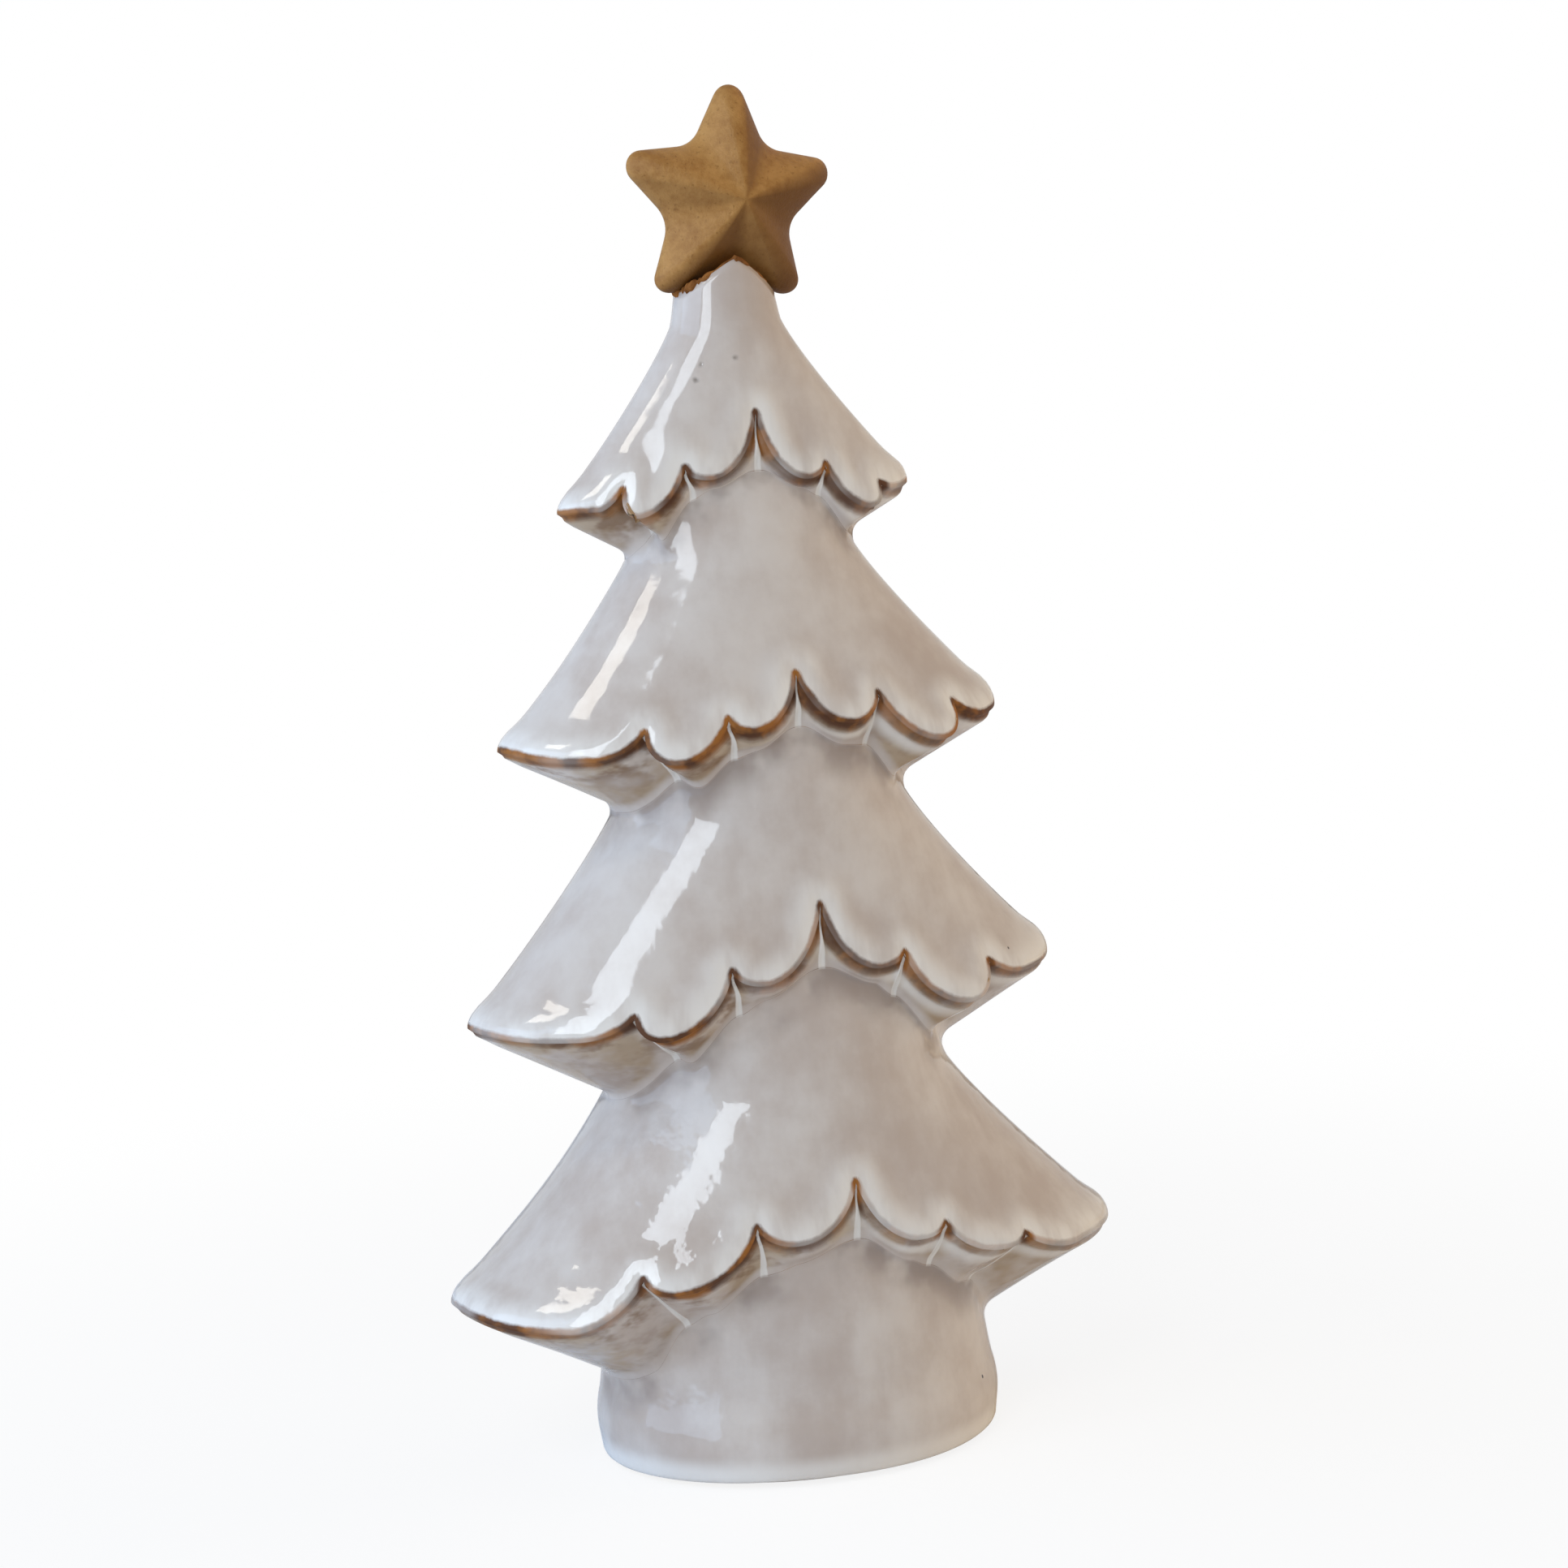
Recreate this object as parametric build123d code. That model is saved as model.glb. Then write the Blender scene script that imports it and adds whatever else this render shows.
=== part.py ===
from build123d import *
import math
import os
from typing import NamedTuple

# Ceramic christmas tree: a hollow stoneware casting of four scalloped tiers on a short
# trunk, dipped in glaze, with a bare clay star luted to its neck and felt under its foot.
# Millimetres, +Z up, X across the width, the front faces -Y.
# The origin is the middle of the footprint, on the surface that the tree stands on.

# Walls and coats
WALL = 4.5
HEM_WALL = 6.8
GLAZE = 0.5
FLOOR = 4.0
DRAIN_RADIUS = 7.0

# Felt pads and the recess that they are glued into
PAD_RADIUS = 4.5
PAD_THICKNESS = 1.5
PAD_PROUD = 0.5
PAD_INSET = 2.5
PAD_TURN = 38.0
FOOT_RING_WIDTH = 4.0

# Trunk and foot, as half sizes
FOOT_HALF_WIDTH = 36.1
FOOT_HALF_DEPTH = 32.6
FOOT_EDGE_HEIGHT = 2.5
FOOT_EDGE_SPREAD = 1.9
FOOT_BULGE_HEIGHT = 9.0
FOOT_BULGE_SPREAD = 2.6
TRUNK_HALF_WIDTH = 37.0
TRUNK_HALF_DEPTH = 32.6
TRUNK_NECK_HEIGHT = 16.2
TRUNK_TOP_HEIGHT = 60.0
TRUNK_TOP_HALF_WIDTH = 33.0
TRUNK_TOP_HALF_DEPTH = 30.2
GLAZE_LINE = 1.0

# How every tier is shaped
FLARE_POWER = 1.15
FLARE_STEPS = 5
SEAM_TURN = 100.0
LOBE_STEPS = 6
SIDE_LOBE_STEPS = 12
NOTCH_SHARPNESS = 8
HEM_SPARE = 6.0
UNDERSIDE_SINK = 4.0
UNDERSIDE_DEPTH_SHARE = 0.2

# Star, its peg and the clay slip that holds it
STAR_TIP_RADIUS = 26.0
STAR_VALLEY_RADIUS = 12.6
STAR_TIP_ROUND = 3.0
STAR_VALLEY_ROUND = 6.0
STAR_MIDDLE = 14.0
STAR_RIM = 5.0
STAR_RISE = 7.6
STAR_TILT = 2.6
STAR_POINTS = 5
PEG_RADIUS = 3.5
PEG_LENGTH = 27.0
SLIP = 0.5


class Tier(NamedTuple):
    """One tier of branches: half sizes of its crown, waist and hem, and the hem's rises.

    The crown is the tier's hidden top, the waist is where the flare starts at the sides,
    and the tip is the outermost point of the hem. Notches and lobes are given as rises of
    the hem above the tip, from the front's middle to the side.
    """

    crown_height: float
    crown_half_width: float
    crown_half_depth: float
    waist_height: float
    waist_half_width: float
    tip_height: float
    reach: float
    notch_half_depth: float
    notch_angles: tuple
    notch_rises: tuple
    lobe_rises: tuple


TOP_TIER = Tier(
    crown_height=226.0,
    crown_half_width=8.0,
    crown_half_depth=6.5,
    waist_height=212.0,
    waist_half_width=11.0,
    tip_height=180.4,
    reach=35.0,
    notch_half_depth=10.8,
    notch_angles=(24.5, 46.0),
    notch_rises=(14.5, 4.0, -0.4),
    lobe_rises=(1.9, -4.1, -0.9),
)
SECOND_TIER = Tier(
    crown_height=199.0,
    crown_half_width=18.0,
    crown_half_depth=6.0,
    waist_height=170.3,
    waist_half_width=22.6,
    tip_height=137.4,
    reach=50.1,
    notch_half_depth=20.9,
    notch_angles=(18.5, 38.6),
    notch_rises=(10.2, 3.3, 0.2),
    lobe_rises=(0.4, -6.0, -3.4),
)
THIRD_TIER = Tier(
    crown_height=152.0,
    crown_half_width=23.0,
    crown_half_depth=18.0,
    waist_height=123.3,
    waist_half_width=28.7,
    tip_height=87.9,
    reach=59.2,
    notch_half_depth=24.7,
    notch_angles=(17.0, 36.0),
    notch_rises=(17.3, 5.7, 0.2),
    lobe_rises=(3.6, -5.6, -3.1),
)
LOW_TIER = Tier(
    crown_height=109.0,
    crown_half_width=26.5,
    crown_half_depth=20.0,
    waist_height=71.7,
    waist_half_width=33.2,
    tip_height=35.8,
    reach=66.7,
    notch_half_depth=32.5,
    notch_angles=(19.0, 37.0),
    notch_rises=(19.1, 10.0, 3.6),
    lobe_rises=(6.7, 1.8, -1.6),
)
TIERS = (TOP_TIER, SECOND_TIER, THIRD_TIER, LOW_TIER)

# Where the star stands, and how far down its socket goes into the neck
STAR_HEIGHT = TOP_TIER.crown_height + STAR_RISE
STAR_CENTRE = Pos(0, 0, STAR_HEIGHT) * Rot(0, STAR_TILT, 0)
STAR_UPRIGHT = STAR_CENTRE * Rot(90, 0, 0)
SOCKET_BOTTOM = STAR_HEIGHT - PEG_LENGTH - SLIP


def ellipse_at(height, half_width, half_depth):
    """A level ellipse about the tree's axis, in two halves that meet clear of every notch."""
    level = Plane.XY.offset(height)
    halves = [
        Edge.make_ellipse(half_width, half_depth, level, SEAM_TURN, SEAM_TURN + 180),
        Edge.make_ellipse(half_width, half_depth, level, SEAM_TURN + 180, SEAM_TURN + 360),
    ]
    return Face(Wire(halves))


def between(value, start, end, start_result, end_result):
    """Straight-line interpolation from start to end."""
    share = (value - start) / (end - start)
    return start_result + (end_result - start_result) * share


def tier_half_width(tier, height):
    """Half width of a tier: straight from crown to waist, then flaring out to the tip."""
    if height >= tier.waist_height:
        crown_half_width, waist_half_width = tier.crown_half_width, tier.waist_half_width
        return between(height, tier.crown_height, tier.waist_height, crown_half_width, waist_half_width)
    fall = (tier.waist_height - height) / (tier.waist_height - tier.tip_height)
    return tier.waist_half_width + (tier.reach - tier.waist_half_width) * fall**FLARE_POWER


def tier_half_depth(tier, height):
    """Half depth of a tier: a straight slope from the crown through the front notch."""
    notch_height = tier.tip_height + tier.notch_rises[0]
    return between(height, tier.crown_height, notch_height, tier.crown_half_depth, tier.notch_half_depth)


def trunk_half_depth(height):
    """Half depth of the trunk above its neck, which carries on inside the lowest tier."""
    return between(height, TRUNK_NECK_HEIGHT, TRUNK_TOP_HEIGHT, TRUNK_HALF_DEPTH, TRUNK_TOP_HALF_DEPTH)


def core_half_width(index):
    """Half width of what stands below tier number index, at the crease under its hem."""
    if index + 1 < len(TIERS):
        return TIERS[index + 1].waist_half_width
    return TRUNK_HALF_WIDTH


def core_height(index):
    """Height of the crease under the hem of tier number index, at the sides."""
    if index + 1 < len(TIERS):
        return TIERS[index + 1].waist_height
    return TRUNK_NECK_HEIGHT


def core_half_depth(index, height):
    """Half depth of what stands below tier number index, at a height."""
    if index + 1 < len(TIERS):
        return tier_half_depth(TIERS[index + 1], height)
    return trunk_half_depth(height)


def flare(index, grow):
    """A tier's outer skin as a solid cone that reaches below its hem, grown by a coat."""
    tier = TIERS[index]
    bottom = core_height(index) - 2 * UNDERSIDE_SINK
    drop = (tier.waist_height - bottom) / FLARE_STEPS
    heights = [tier.crown_height] + [tier.waist_height - drop * step for step in range(FLARE_STEPS + 1)]
    sections = []
    for height in heights:
        half_width = tier_half_width(tier, height) + grow
        half_depth = tier_half_depth(tier, height) + grow
        sections.append(ellipse_at(height, half_width, half_depth))
    return loft(sections)


def hem_rise(tier, turn):
    """Rise of the hem above the tip, at a turn from the front's middle (0) to the side (90).

    A lobe hangs as half an ellipse below the straight line between its two notches. The
    lobe at the side dips after its notch and comes up level to the tip.
    """
    notch_turns = (0, *tier.notch_angles)
    for inner in range(len(tier.notch_angles)):
        if turn <= notch_turns[inner + 1]:
            share = between(turn, notch_turns[inner], notch_turns[inner + 1], 0, 1)
            inner_rise, outer_rise = tier.notch_rises[inner : inner + 2]
            sag = (inner_rise + outer_rise) / 2 - tier.lobe_rises[inner]
            return inner_rise + (outer_rise - inner_rise) * share - sag * math.sqrt(1 - (2 * share - 1) ** 2)
    share = between(turn, 90, notch_turns[-1], 0, 1)
    return tier.notch_rises[-1] * share**NOTCH_SHARPNESS + tier.lobe_rises[-1] * math.sin(math.pi * share**2)


def lobe_turns(tier):
    """The turns along each lobe of the hem, all round the tree from the front's middle."""
    inner_notch, outer_notch = tier.notch_angles
    half_turn = [0, inner_notch, outer_notch, 180 - outer_notch, 180 - inner_notch, 180]
    lobes = []
    for side in (0, 180):
        for start, end in zip(half_turn, half_turn[1:]):
            steps = SIDE_LOBE_STEPS if start < 90 < end else LOBE_STEPS
            lobes.append([side + start + (end - start) * step / steps for step in range(steps + 1)])
    return lobes


def hem_mould(index, grow):
    """Everything above a tier's scalloped underside, to be intersected with its flare.

    The underside is one ruled face for each lobe, running inwards and down from the hem
    to a small ring deep inside the core.
    """
    tier = TIERS[index]
    slope = (tier.tip_height - core_height(index)) / (tier.reach - core_half_width(index))
    ring_height = core_height(index) - UNDERSIDE_SINK
    ring_half_width = core_half_width(index) - UNDERSIDE_SINK / slope
    ring_half_depth = core_half_depth(index, ring_height) * UNDERSIDE_DEPTH_SHARE

    def round_point(turn, half_width, half_depth, height):
        """A point at a turn round the axis, moved outwards and down by the coat."""
        across = math.sin(math.radians(turn)) * (half_width + grow)
        along = -math.cos(math.radians(turn)) * (half_depth + grow)
        return Vector(across, along, height - grow)

    def ring_point(turn):
        """A point of the small ring inside the core."""
        return round_point(turn, ring_half_width, ring_half_depth, ring_height)

    def rim_point(turn):
        """A point just outside the flare, in line with the ring and the hem."""
        from_front = turn % 180
        height = tier.tip_height + hem_rise(tier, min(from_front, 180 - from_front))
        hem = round_point(turn, tier_half_width(tier, height), tier_half_depth(tier, height), height)
        run = hem - ring_point(turn)
        return hem + run * (HEM_SPARE / math.hypot(run.X, run.Y))

    def top_point(turn):
        """The point above the rim at the mould's flat top."""
        rim = rim_point(turn)
        return Vector(rim.X, rim.Y, tier.crown_height + HEM_SPARE)

    loops = []
    for place in (ring_point, rim_point, top_point):
        loops.append(Wire([Edge.make_spline([place(turn) for turn in lobe]) for lobe in lobe_turns(tier)]))
    return Solid.make_loft(loops, ruled=True)


def trunk(grow):
    """The trunk on its rounded foot, which stands clear of the surface by the pads."""
    foot = [
        (PAD_PROUD, FOOT_HALF_WIDTH, FOOT_HALF_DEPTH),
        (FOOT_EDGE_HEIGHT, FOOT_HALF_WIDTH + FOOT_EDGE_SPREAD, FOOT_HALF_DEPTH + FOOT_EDGE_SPREAD),
        (FOOT_BULGE_HEIGHT, FOOT_HALF_WIDTH + FOOT_BULGE_SPREAD, FOOT_HALF_DEPTH + FOOT_BULGE_SPREAD),
        (TRUNK_NECK_HEIGHT, TRUNK_HALF_WIDTH, TRUNK_HALF_DEPTH),
    ]
    stem = [foot[-1], (TRUNK_TOP_HEIGHT, TRUNK_TOP_HALF_WIDTH, TRUNK_TOP_HALF_DEPTH)]
    solid = Part()
    for run in (foot, stem):
        solid += loft([ellipse_at(height, width + grow, depth + grow) for height, width, depth in run])
    return solid


def tree_form(grow):
    """The whole outer form of the tree, grown by a coat's thickness."""
    form = trunk(grow)
    for index in range(len(TIERS)):
        form += flare(index, grow) & hem_mould(index, grow)
    return form


def hollow():
    """The space inside the casting: a stack of ellipses a wall's thickness inside its core."""
    floor_top = PAD_THICKNESS + FLOOR
    sections = [(floor_top, FOOT_HALF_WIDTH - WALL, FOOT_HALF_DEPTH - WALL)]
    for index in reversed(range(len(TIERS))):
        tier = TIERS[index]
        crease = core_height(index)
        sections.append((crease, core_half_width(index) - WALL, core_half_depth(index, crease) - WALL))
        shelf = tier.tip_height + WALL
        shelf_half_depth = core_half_depth(index, shelf) - HEM_WALL
        sections.append((shelf, tier_half_width(tier, shelf) - WALL, shelf_half_depth))
        top = (shelf + tier.waist_height) / 2 if index else SOCKET_BOTTOM - WALL
        sections.append((top, tier_half_width(tier, top) - WALL, tier_half_depth(tier, top) - WALL))
    return loft([ellipse_at(*section) for section in sections], ruled=True)


def star_polygon(scale):
    """The five-pointed outline with sharp corners, lying flat with one point up."""
    points = []
    for step in range(2 * STAR_POINTS):
        radius = (STAR_VALLEY_RADIUS if step % 2 else STAR_TIP_RADIUS) * scale
        turn = math.pi * step / STAR_POINTS
        points.append((radius * math.sin(turn), radius * math.cos(turn)))
    return make_face(Polyline(*points, close=True))


def star_outline():
    """The outline with its points and valleys rounded."""
    outline = star_polygon(1)
    middle_radius = (STAR_TIP_RADIUS + STAR_VALLEY_RADIUS) / 2
    tips = [v for v in outline.vertices() if v.center().length > middle_radius]
    outline = fillet(tips, STAR_TIP_ROUND)
    valleys = [v for v in outline.vertices() if v.center().length < STAR_VALLEY_RADIUS + SLIP]
    return fillet(valleys, STAR_VALLEY_ROUND)


def star_prism(grow):
    """The star's outline pushed right through the neck from front to back."""
    outline = offset(star_outline(), grow) if grow else star_outline()
    return STAR_UPRIGHT * extrude(outline, STAR_MIDDLE, both=True)


def peg_cylinder(grow):
    """The peg below the star's middle, grown by the slip around it."""
    length = PEG_LENGTH + grow
    return STAR_CENTRE * Pos(0, 0, -length / 2) * Cylinder(PEG_RADIUS + grow, length)


def star_topper():
    """A star of ten sloping facets front and back, thick in the middle, with its peg."""
    spread = star_polygon(STAR_TIP_RADIUS / STAR_VALLEY_RADIUS)
    roof = extrude(spread, STAR_RIM / 2, both=True)
    for side in (1, -1):
        apex = Vertex(0, 0, side * STAR_MIDDLE / 2)
        roof += loft([Pos(0, 0, side * STAR_RIM / 2) * spread, apex], ruled=True)
    star = extrude(star_outline(), STAR_MIDDLE, both=True) & roof
    return STAR_UPRIGHT * star + peg_cylinder(0)


def tree_shell(form):
    """The casting: hollow, with a floor, a drain hole, a recessed foot and a star socket."""
    shell = form - hollow()
    recess_depth = PAD_THICKNESS - PAD_PROUD
    recess = Ellipse(FOOT_HALF_WIDTH - FOOT_RING_WIDTH, FOOT_HALF_DEPTH - FOOT_RING_WIDTH)
    shell -= Pos(0, 0, PAD_PROUD) * extrude(recess, recess_depth)
    shell -= Pos(0, 0, PAD_THICKNESS + FLOOR / 2) * Cylinder(DRAIN_RADIUS, 2 * FLOOR)
    return shell - star_prism(SLIP) - peg_cylinder(SLIP)


def tree_glaze(form, coated_form):
    """The glaze coat over the casting, from just above the foot ring up to the star."""
    coat = coated_form - form - star_prism(SLIP)
    below_line = Pos(0, 0, GLAZE_LINE / 2) * Box(4 * TRUNK_HALF_WIDTH, 4 * TRUNK_HALF_WIDTH, GLAZE_LINE)
    return coat - below_line


def star_slip_joint(form, coated_form):
    """The clay slip round the peg and along the star's lower edges."""
    bed = coated_form & (star_prism(SLIP) - star_prism(0))
    sleeve = form & (peg_cylinder(SLIP) - star_prism(0))
    return bed + sleeve - peg_cylinder(0)


def felt_pad(side, end):
    """One round felt pad inside the foot ring, glued into the recess and standing proud."""
    inset = FOOT_RING_WIDTH + PAD_INSET + PAD_RADIUS
    across = side * (FOOT_HALF_WIDTH - inset) * math.cos(math.radians(PAD_TURN))
    along = end * (FOOT_HALF_DEPTH - inset) * math.sin(math.radians(PAD_TURN))
    return Pos(across, along, PAD_THICKNESS / 2) * Cylinder(PAD_RADIUS, PAD_THICKNESS)


FORM = tree_form(0)
COATED_FORM = tree_form(GLAZE)

nodes = {
    "tree_shell": tree_shell(FORM),
    "tree_glaze": tree_glaze(FORM, COATED_FORM),
    "star_topper": star_topper(),
    "star_slip_joint": star_slip_joint(FORM, COATED_FORM),
    "felt_pad_front_left": felt_pad(-1, -1),
    "felt_pad_front_right": felt_pad(1, -1),
    "felt_pad_rear_left": felt_pad(-1, 1),
    "felt_pad_rear_right": felt_pad(1, 1),
}

os.makedirs("parts", exist_ok=True)
for name, solid in nodes.items():
    export_step(solid, f"parts/{name}.step")
    print(name, len(solid.solids()), round(solid.volume, 1))
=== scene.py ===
# %% [markdown]
# # A ceramic Christmas tree
# The object is a hollow stoneware tree with four scalloped tiers, a glossy off-white glaze and a bare clay
# star. A plain CAD model gives the frame and the box. This lesson builds the fine surface over that model:
# soft hems, notches, glaze that breaks to brown on the edges, and clay that looks like clay. Loading the
# CAD model first keeps every piece in its frame, so nothing has to be fitted afterwards.

import math
from collections import namedtuple

import bpy
import numpy as np
from mathutils import Matrix, Vector


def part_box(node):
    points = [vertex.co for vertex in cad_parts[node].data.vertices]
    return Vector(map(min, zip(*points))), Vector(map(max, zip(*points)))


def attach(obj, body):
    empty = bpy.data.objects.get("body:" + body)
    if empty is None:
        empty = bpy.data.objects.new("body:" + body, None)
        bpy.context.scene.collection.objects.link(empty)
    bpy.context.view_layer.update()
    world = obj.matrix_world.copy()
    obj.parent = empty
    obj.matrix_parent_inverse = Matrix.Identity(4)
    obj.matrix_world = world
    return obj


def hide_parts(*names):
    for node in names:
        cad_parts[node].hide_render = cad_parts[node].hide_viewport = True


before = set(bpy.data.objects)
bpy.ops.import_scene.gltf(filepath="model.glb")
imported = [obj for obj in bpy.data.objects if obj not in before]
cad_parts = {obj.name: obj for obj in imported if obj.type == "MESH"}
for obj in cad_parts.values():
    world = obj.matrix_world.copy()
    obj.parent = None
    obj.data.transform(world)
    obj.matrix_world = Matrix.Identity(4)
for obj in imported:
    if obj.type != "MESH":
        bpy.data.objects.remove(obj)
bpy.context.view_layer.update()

# %% [markdown]
# ## The sizes of the tiers
# Each tier is a skirt that flares from a narrow crown to two side tips, and its hem hangs in ten lobes with
# a notch between each two. One record per tier, in millimetres and degrees, holds its sizes: notches are
# listed from left to right across the front, and lobes likewise with the two tips at the ends. The back
# repeats the front. Typing every hem point would also work, but a few driving sizes and a formula are
# easier to read and to change.

# %% Tier sizes
MILLIMETRE = 0.001

Tier = namedtuple(
    "Tier",
    "crown_height crown_half_width crown_half_depth waist_height waist_half_width tip_height reach "
    "notch_half_depth notch_turns notch_rises lobe_rises tip_rises",
)
TIERS = (
    Tier(
        crown_height=226, crown_half_width=8, crown_half_depth=6.5,
        waist_height=212, waist_half_width=10.5, tip_height=180.4, reach=35, notch_half_depth=10.8,
        notch_turns=(-50.7, -27.4, 0, 23.9, 44.5),
        notch_rises=(2.3, 5.4, 14.5, 4, -0.6),
        lobe_rises=(-1.4, -3.1, 2.9, 1.6, -5, -2),
        tip_rises=(-1.7, -0.8),
    ),
    Tier(
        crown_height=199, crown_half_width=18, crown_half_depth=6,
        waist_height=170.3, waist_half_width=21.8, tip_height=137.4, reach=50.1, notch_half_depth=20.9,
        notch_turns=(-37, -17.4, 0, 20.5, 42.8),
        notch_rises=(2, 3.1, 10.2, 4.8, 1.2),
        lobe_rises=(-2.6, -4.2, 0.4, -0.1, -5.5, -2.4),
        tip_rises=(-0.8, 0.7),
    ),
    Tier(
        crown_height=152, crown_half_width=23, crown_half_depth=18,
        waist_height=123.3, waist_half_width=28.2, tip_height=87.9, reach=59.2, notch_half_depth=24.7,
        notch_turns=(-37.7, -19.4, 0, 17.1, 37.4),
        notch_rises=(0.7, 7.3, 17.3, 6.4, 1.8),
        lobe_rises=(-3, -4.1, 4, 4.2, -5.3, -2),
        tip_rises=(-1.6, 0.9),
    ),
    Tier(
        crown_height=109, crown_half_width=26.5, crown_half_depth=20,
        waist_height=71.7, waist_half_width=32.2, tip_height=35.8, reach=66.7, notch_half_depth=32.5,
        notch_turns=(-41.2, -20.9, 0, 17.1, 33.5),
        notch_rises=(6.1, 13.4, 19.1, 8.7, 3.1),
        lobe_rises=(-2.4, 2.8, 9.2, 6.5, 1.2, -1.6),
        tip_rises=(-0.7, -1),
    ),
)
MIDDLE_NOTCH = 2
FLARE_POWER = 1.15
TRUNK_TOP = (60, 33, 30.2)
TRUNK_NECK = (16.2, 37.4, 33)
FOOT_BULGE = (9, 39.2, 35.6)
FOOT_EDGE = (2.5, 38.4, 34.8)
CORNER_CUTS = 3
print("tiers:", len(TIERS), "from", TIERS[0].crown_height, "mm down to", TIERS[-1].tip_height, "mm")

# %% [markdown]
# ## Cross sections
# Cut level, the tree is always an ellipse, so its whole form is two curves: how the half width and the half
# depth change with height. Working with the direction round the axis, and not with the ellipse's own
# parameter, makes the underside of a hem run straight back to the trunk.

# %% Ellipses of the tiers and the trunk
def ring_radius(half_width, half_depth, turn):
    """Distance from the axis to an ellipse: 1 / length of (sine / half width, cosine / half depth)."""
    return 1 / np.hypot(np.sin(turn) / half_width, np.cos(turn) / half_depth)


def tier_half_width(tier, height):
    """A straight line from crown to waist, then waist + (reach - waist) * share of the way down ** power."""
    crown_share = (height - tier.waist_height) / (tier.crown_height - tier.waist_height)
    upper = tier.waist_half_width + (tier.crown_half_width - tier.waist_half_width) * crown_share
    tip_share = np.clip((tier.waist_height - height) / (tier.waist_height - tier.tip_height), 0, None)
    lower = tier.waist_half_width + (tier.reach - tier.waist_half_width) * tip_share**FLARE_POWER
    return np.where(crown_share > 0, upper, lower)


def tier_half_depth(tier, height):
    """A straight line from the crown's half depth to the half depth at the middle notch."""
    notch_height = tier.tip_height + tier.notch_rises[MIDDLE_NOTCH]
    share = (tier.crown_height - height) / (tier.crown_height - notch_height)
    return tier.crown_half_depth + (tier.notch_half_depth - tier.crown_half_depth) * share


def trunk_half_size(height, axis):
    """The stops' chain with its corners cut: each time, an edge keeps its points at 1/4 and 3/4."""
    chain = np.array([FOOT_EDGE, FOOT_BULGE, TRUNK_NECK, TRUNK_TOP])
    for _ in range(CORNER_CUTS):
        cut = np.stack([0.75 * chain[:-1] + 0.25 * chain[1:], 0.25 * chain[:-1] + 0.75 * chain[1:]], 1)
        chain = np.concatenate([chain[:1], cut.reshape(-1, 3), chain[-1:]])
    return np.interp(height, chain[:, 0], chain[:, axis])


def form_radius(index, turn, height):
    """Radius of tier number index, or of the trunk after the last tier."""
    if index < len(TIERS):
        tier = TIERS[index]
        return ring_radius(tier_half_width(tier, height), tier_half_depth(tier, height), turn)
    return ring_radius(trunk_half_size(height, 1), trunk_half_size(height, 2), turn)


def point_at(radius, turn, height):
    """Turn 0 looks out of the front, which is -Y, and a quarter turn looks along +X."""
    return np.stack(np.broadcast_arrays(radius * np.sin(turn), -radius * np.cos(turn), height), -1)


lowest = TIERS[-1]
print("half width of the lowest tier at its tip:", float(tier_half_width(lowest, lowest.tip_height)), "mm")

# %% [markdown]
# ## Columns that follow the notches
# The skin will be a grid: columns run from the star to the foot, rows go round. A notch is a sharp cusp,
# and a cusp between two columns would look torn. So each lobe owns a fixed number of columns, crowded
# towards its notches, and every tier bends the columns until one runs exactly through each of its notches.

# %% Columns and hem heights
LOBE_COLUMNS = 22
TIP_COLUMNS = 60
LOBES = 10
TIP_LOBES = (2, 7)
CROWDING = 0.75
LOBE_ROUNDNESS = 0.75
TIP_NOTCH_WIDTH = 0.22
TIP_SOFT_WIDTH = 0.35
TIP_LEVEL = 0.75
NOTCH_SHARE = 0.3

Hem = namedtuple("Hem", "turn height base")


def shares_along(count):
    """Steps from 0 to 1 along a lobe, a mix of even steps and a half cosine that crowds both ends."""
    even = np.arange(count) / count
    return (1 - CROWDING) * even + CROWDING * (0.5 - 0.5 * np.cos(np.pi * even))


column_counts = [TIP_COLUMNS if lobe in TIP_LOBES else LOBE_COLUMNS for lobe in range(LOBES)]
column_lobe = np.repeat(np.arange(LOBES), column_counts)
column_share = np.concatenate([shares_along(count) for count in column_counts])
notch_columns = np.concatenate([[0], np.cumsum(column_counts)[:-1]])
in_tip = np.isin(column_lobe, TIP_LOBES)
from_notch = (1 - np.abs(2 * column_share - 1)) / np.where(in_tip, TIP_SOFT_WIDTH, 1)
COLUMNS = len(column_lobe)


def hem_table(tier):
    """Turns and rises of eleven notches from the front's middle round to itself, and the lobes' lows."""
    left_outer, left_inner, middle, inner, outer = tier.notch_turns
    right_turns = [middle, inner, outer, 180 - outer, 180 - inner, 180 - middle]
    left_turns = [180 - left_inner, 180 - left_outer, 360 + left_outer, 360 + left_inner, 360 + middle]
    right = tier.notch_rises[MIDDLE_NOTCH:]
    left = tier.notch_rises[:MIDDLE_NOTCH]
    rises = [*right, *right[::-1], *left[::-1], *left, right[0]]
    left_tip, left_far, left_near, right_near, right_far, right_tip = tier.lobe_rises
    half_round = [right_near, right_far, right_tip, right_far, right_near]
    lows = [*half_round, left_near, left_far, left_tip, left_far, left_near]
    return np.radians(right_turns + left_turns), np.array(rises), np.array(lows)


def arc(share):
    """From 0 at share 1 to 1 at share 0, where it is upright: 1 - (1 - (1 - share) ** 2) ** roundness."""
    return 1 - (1 - np.clip(1 - share, 0, 1) ** 2) ** LOBE_ROUNDNESS


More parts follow.
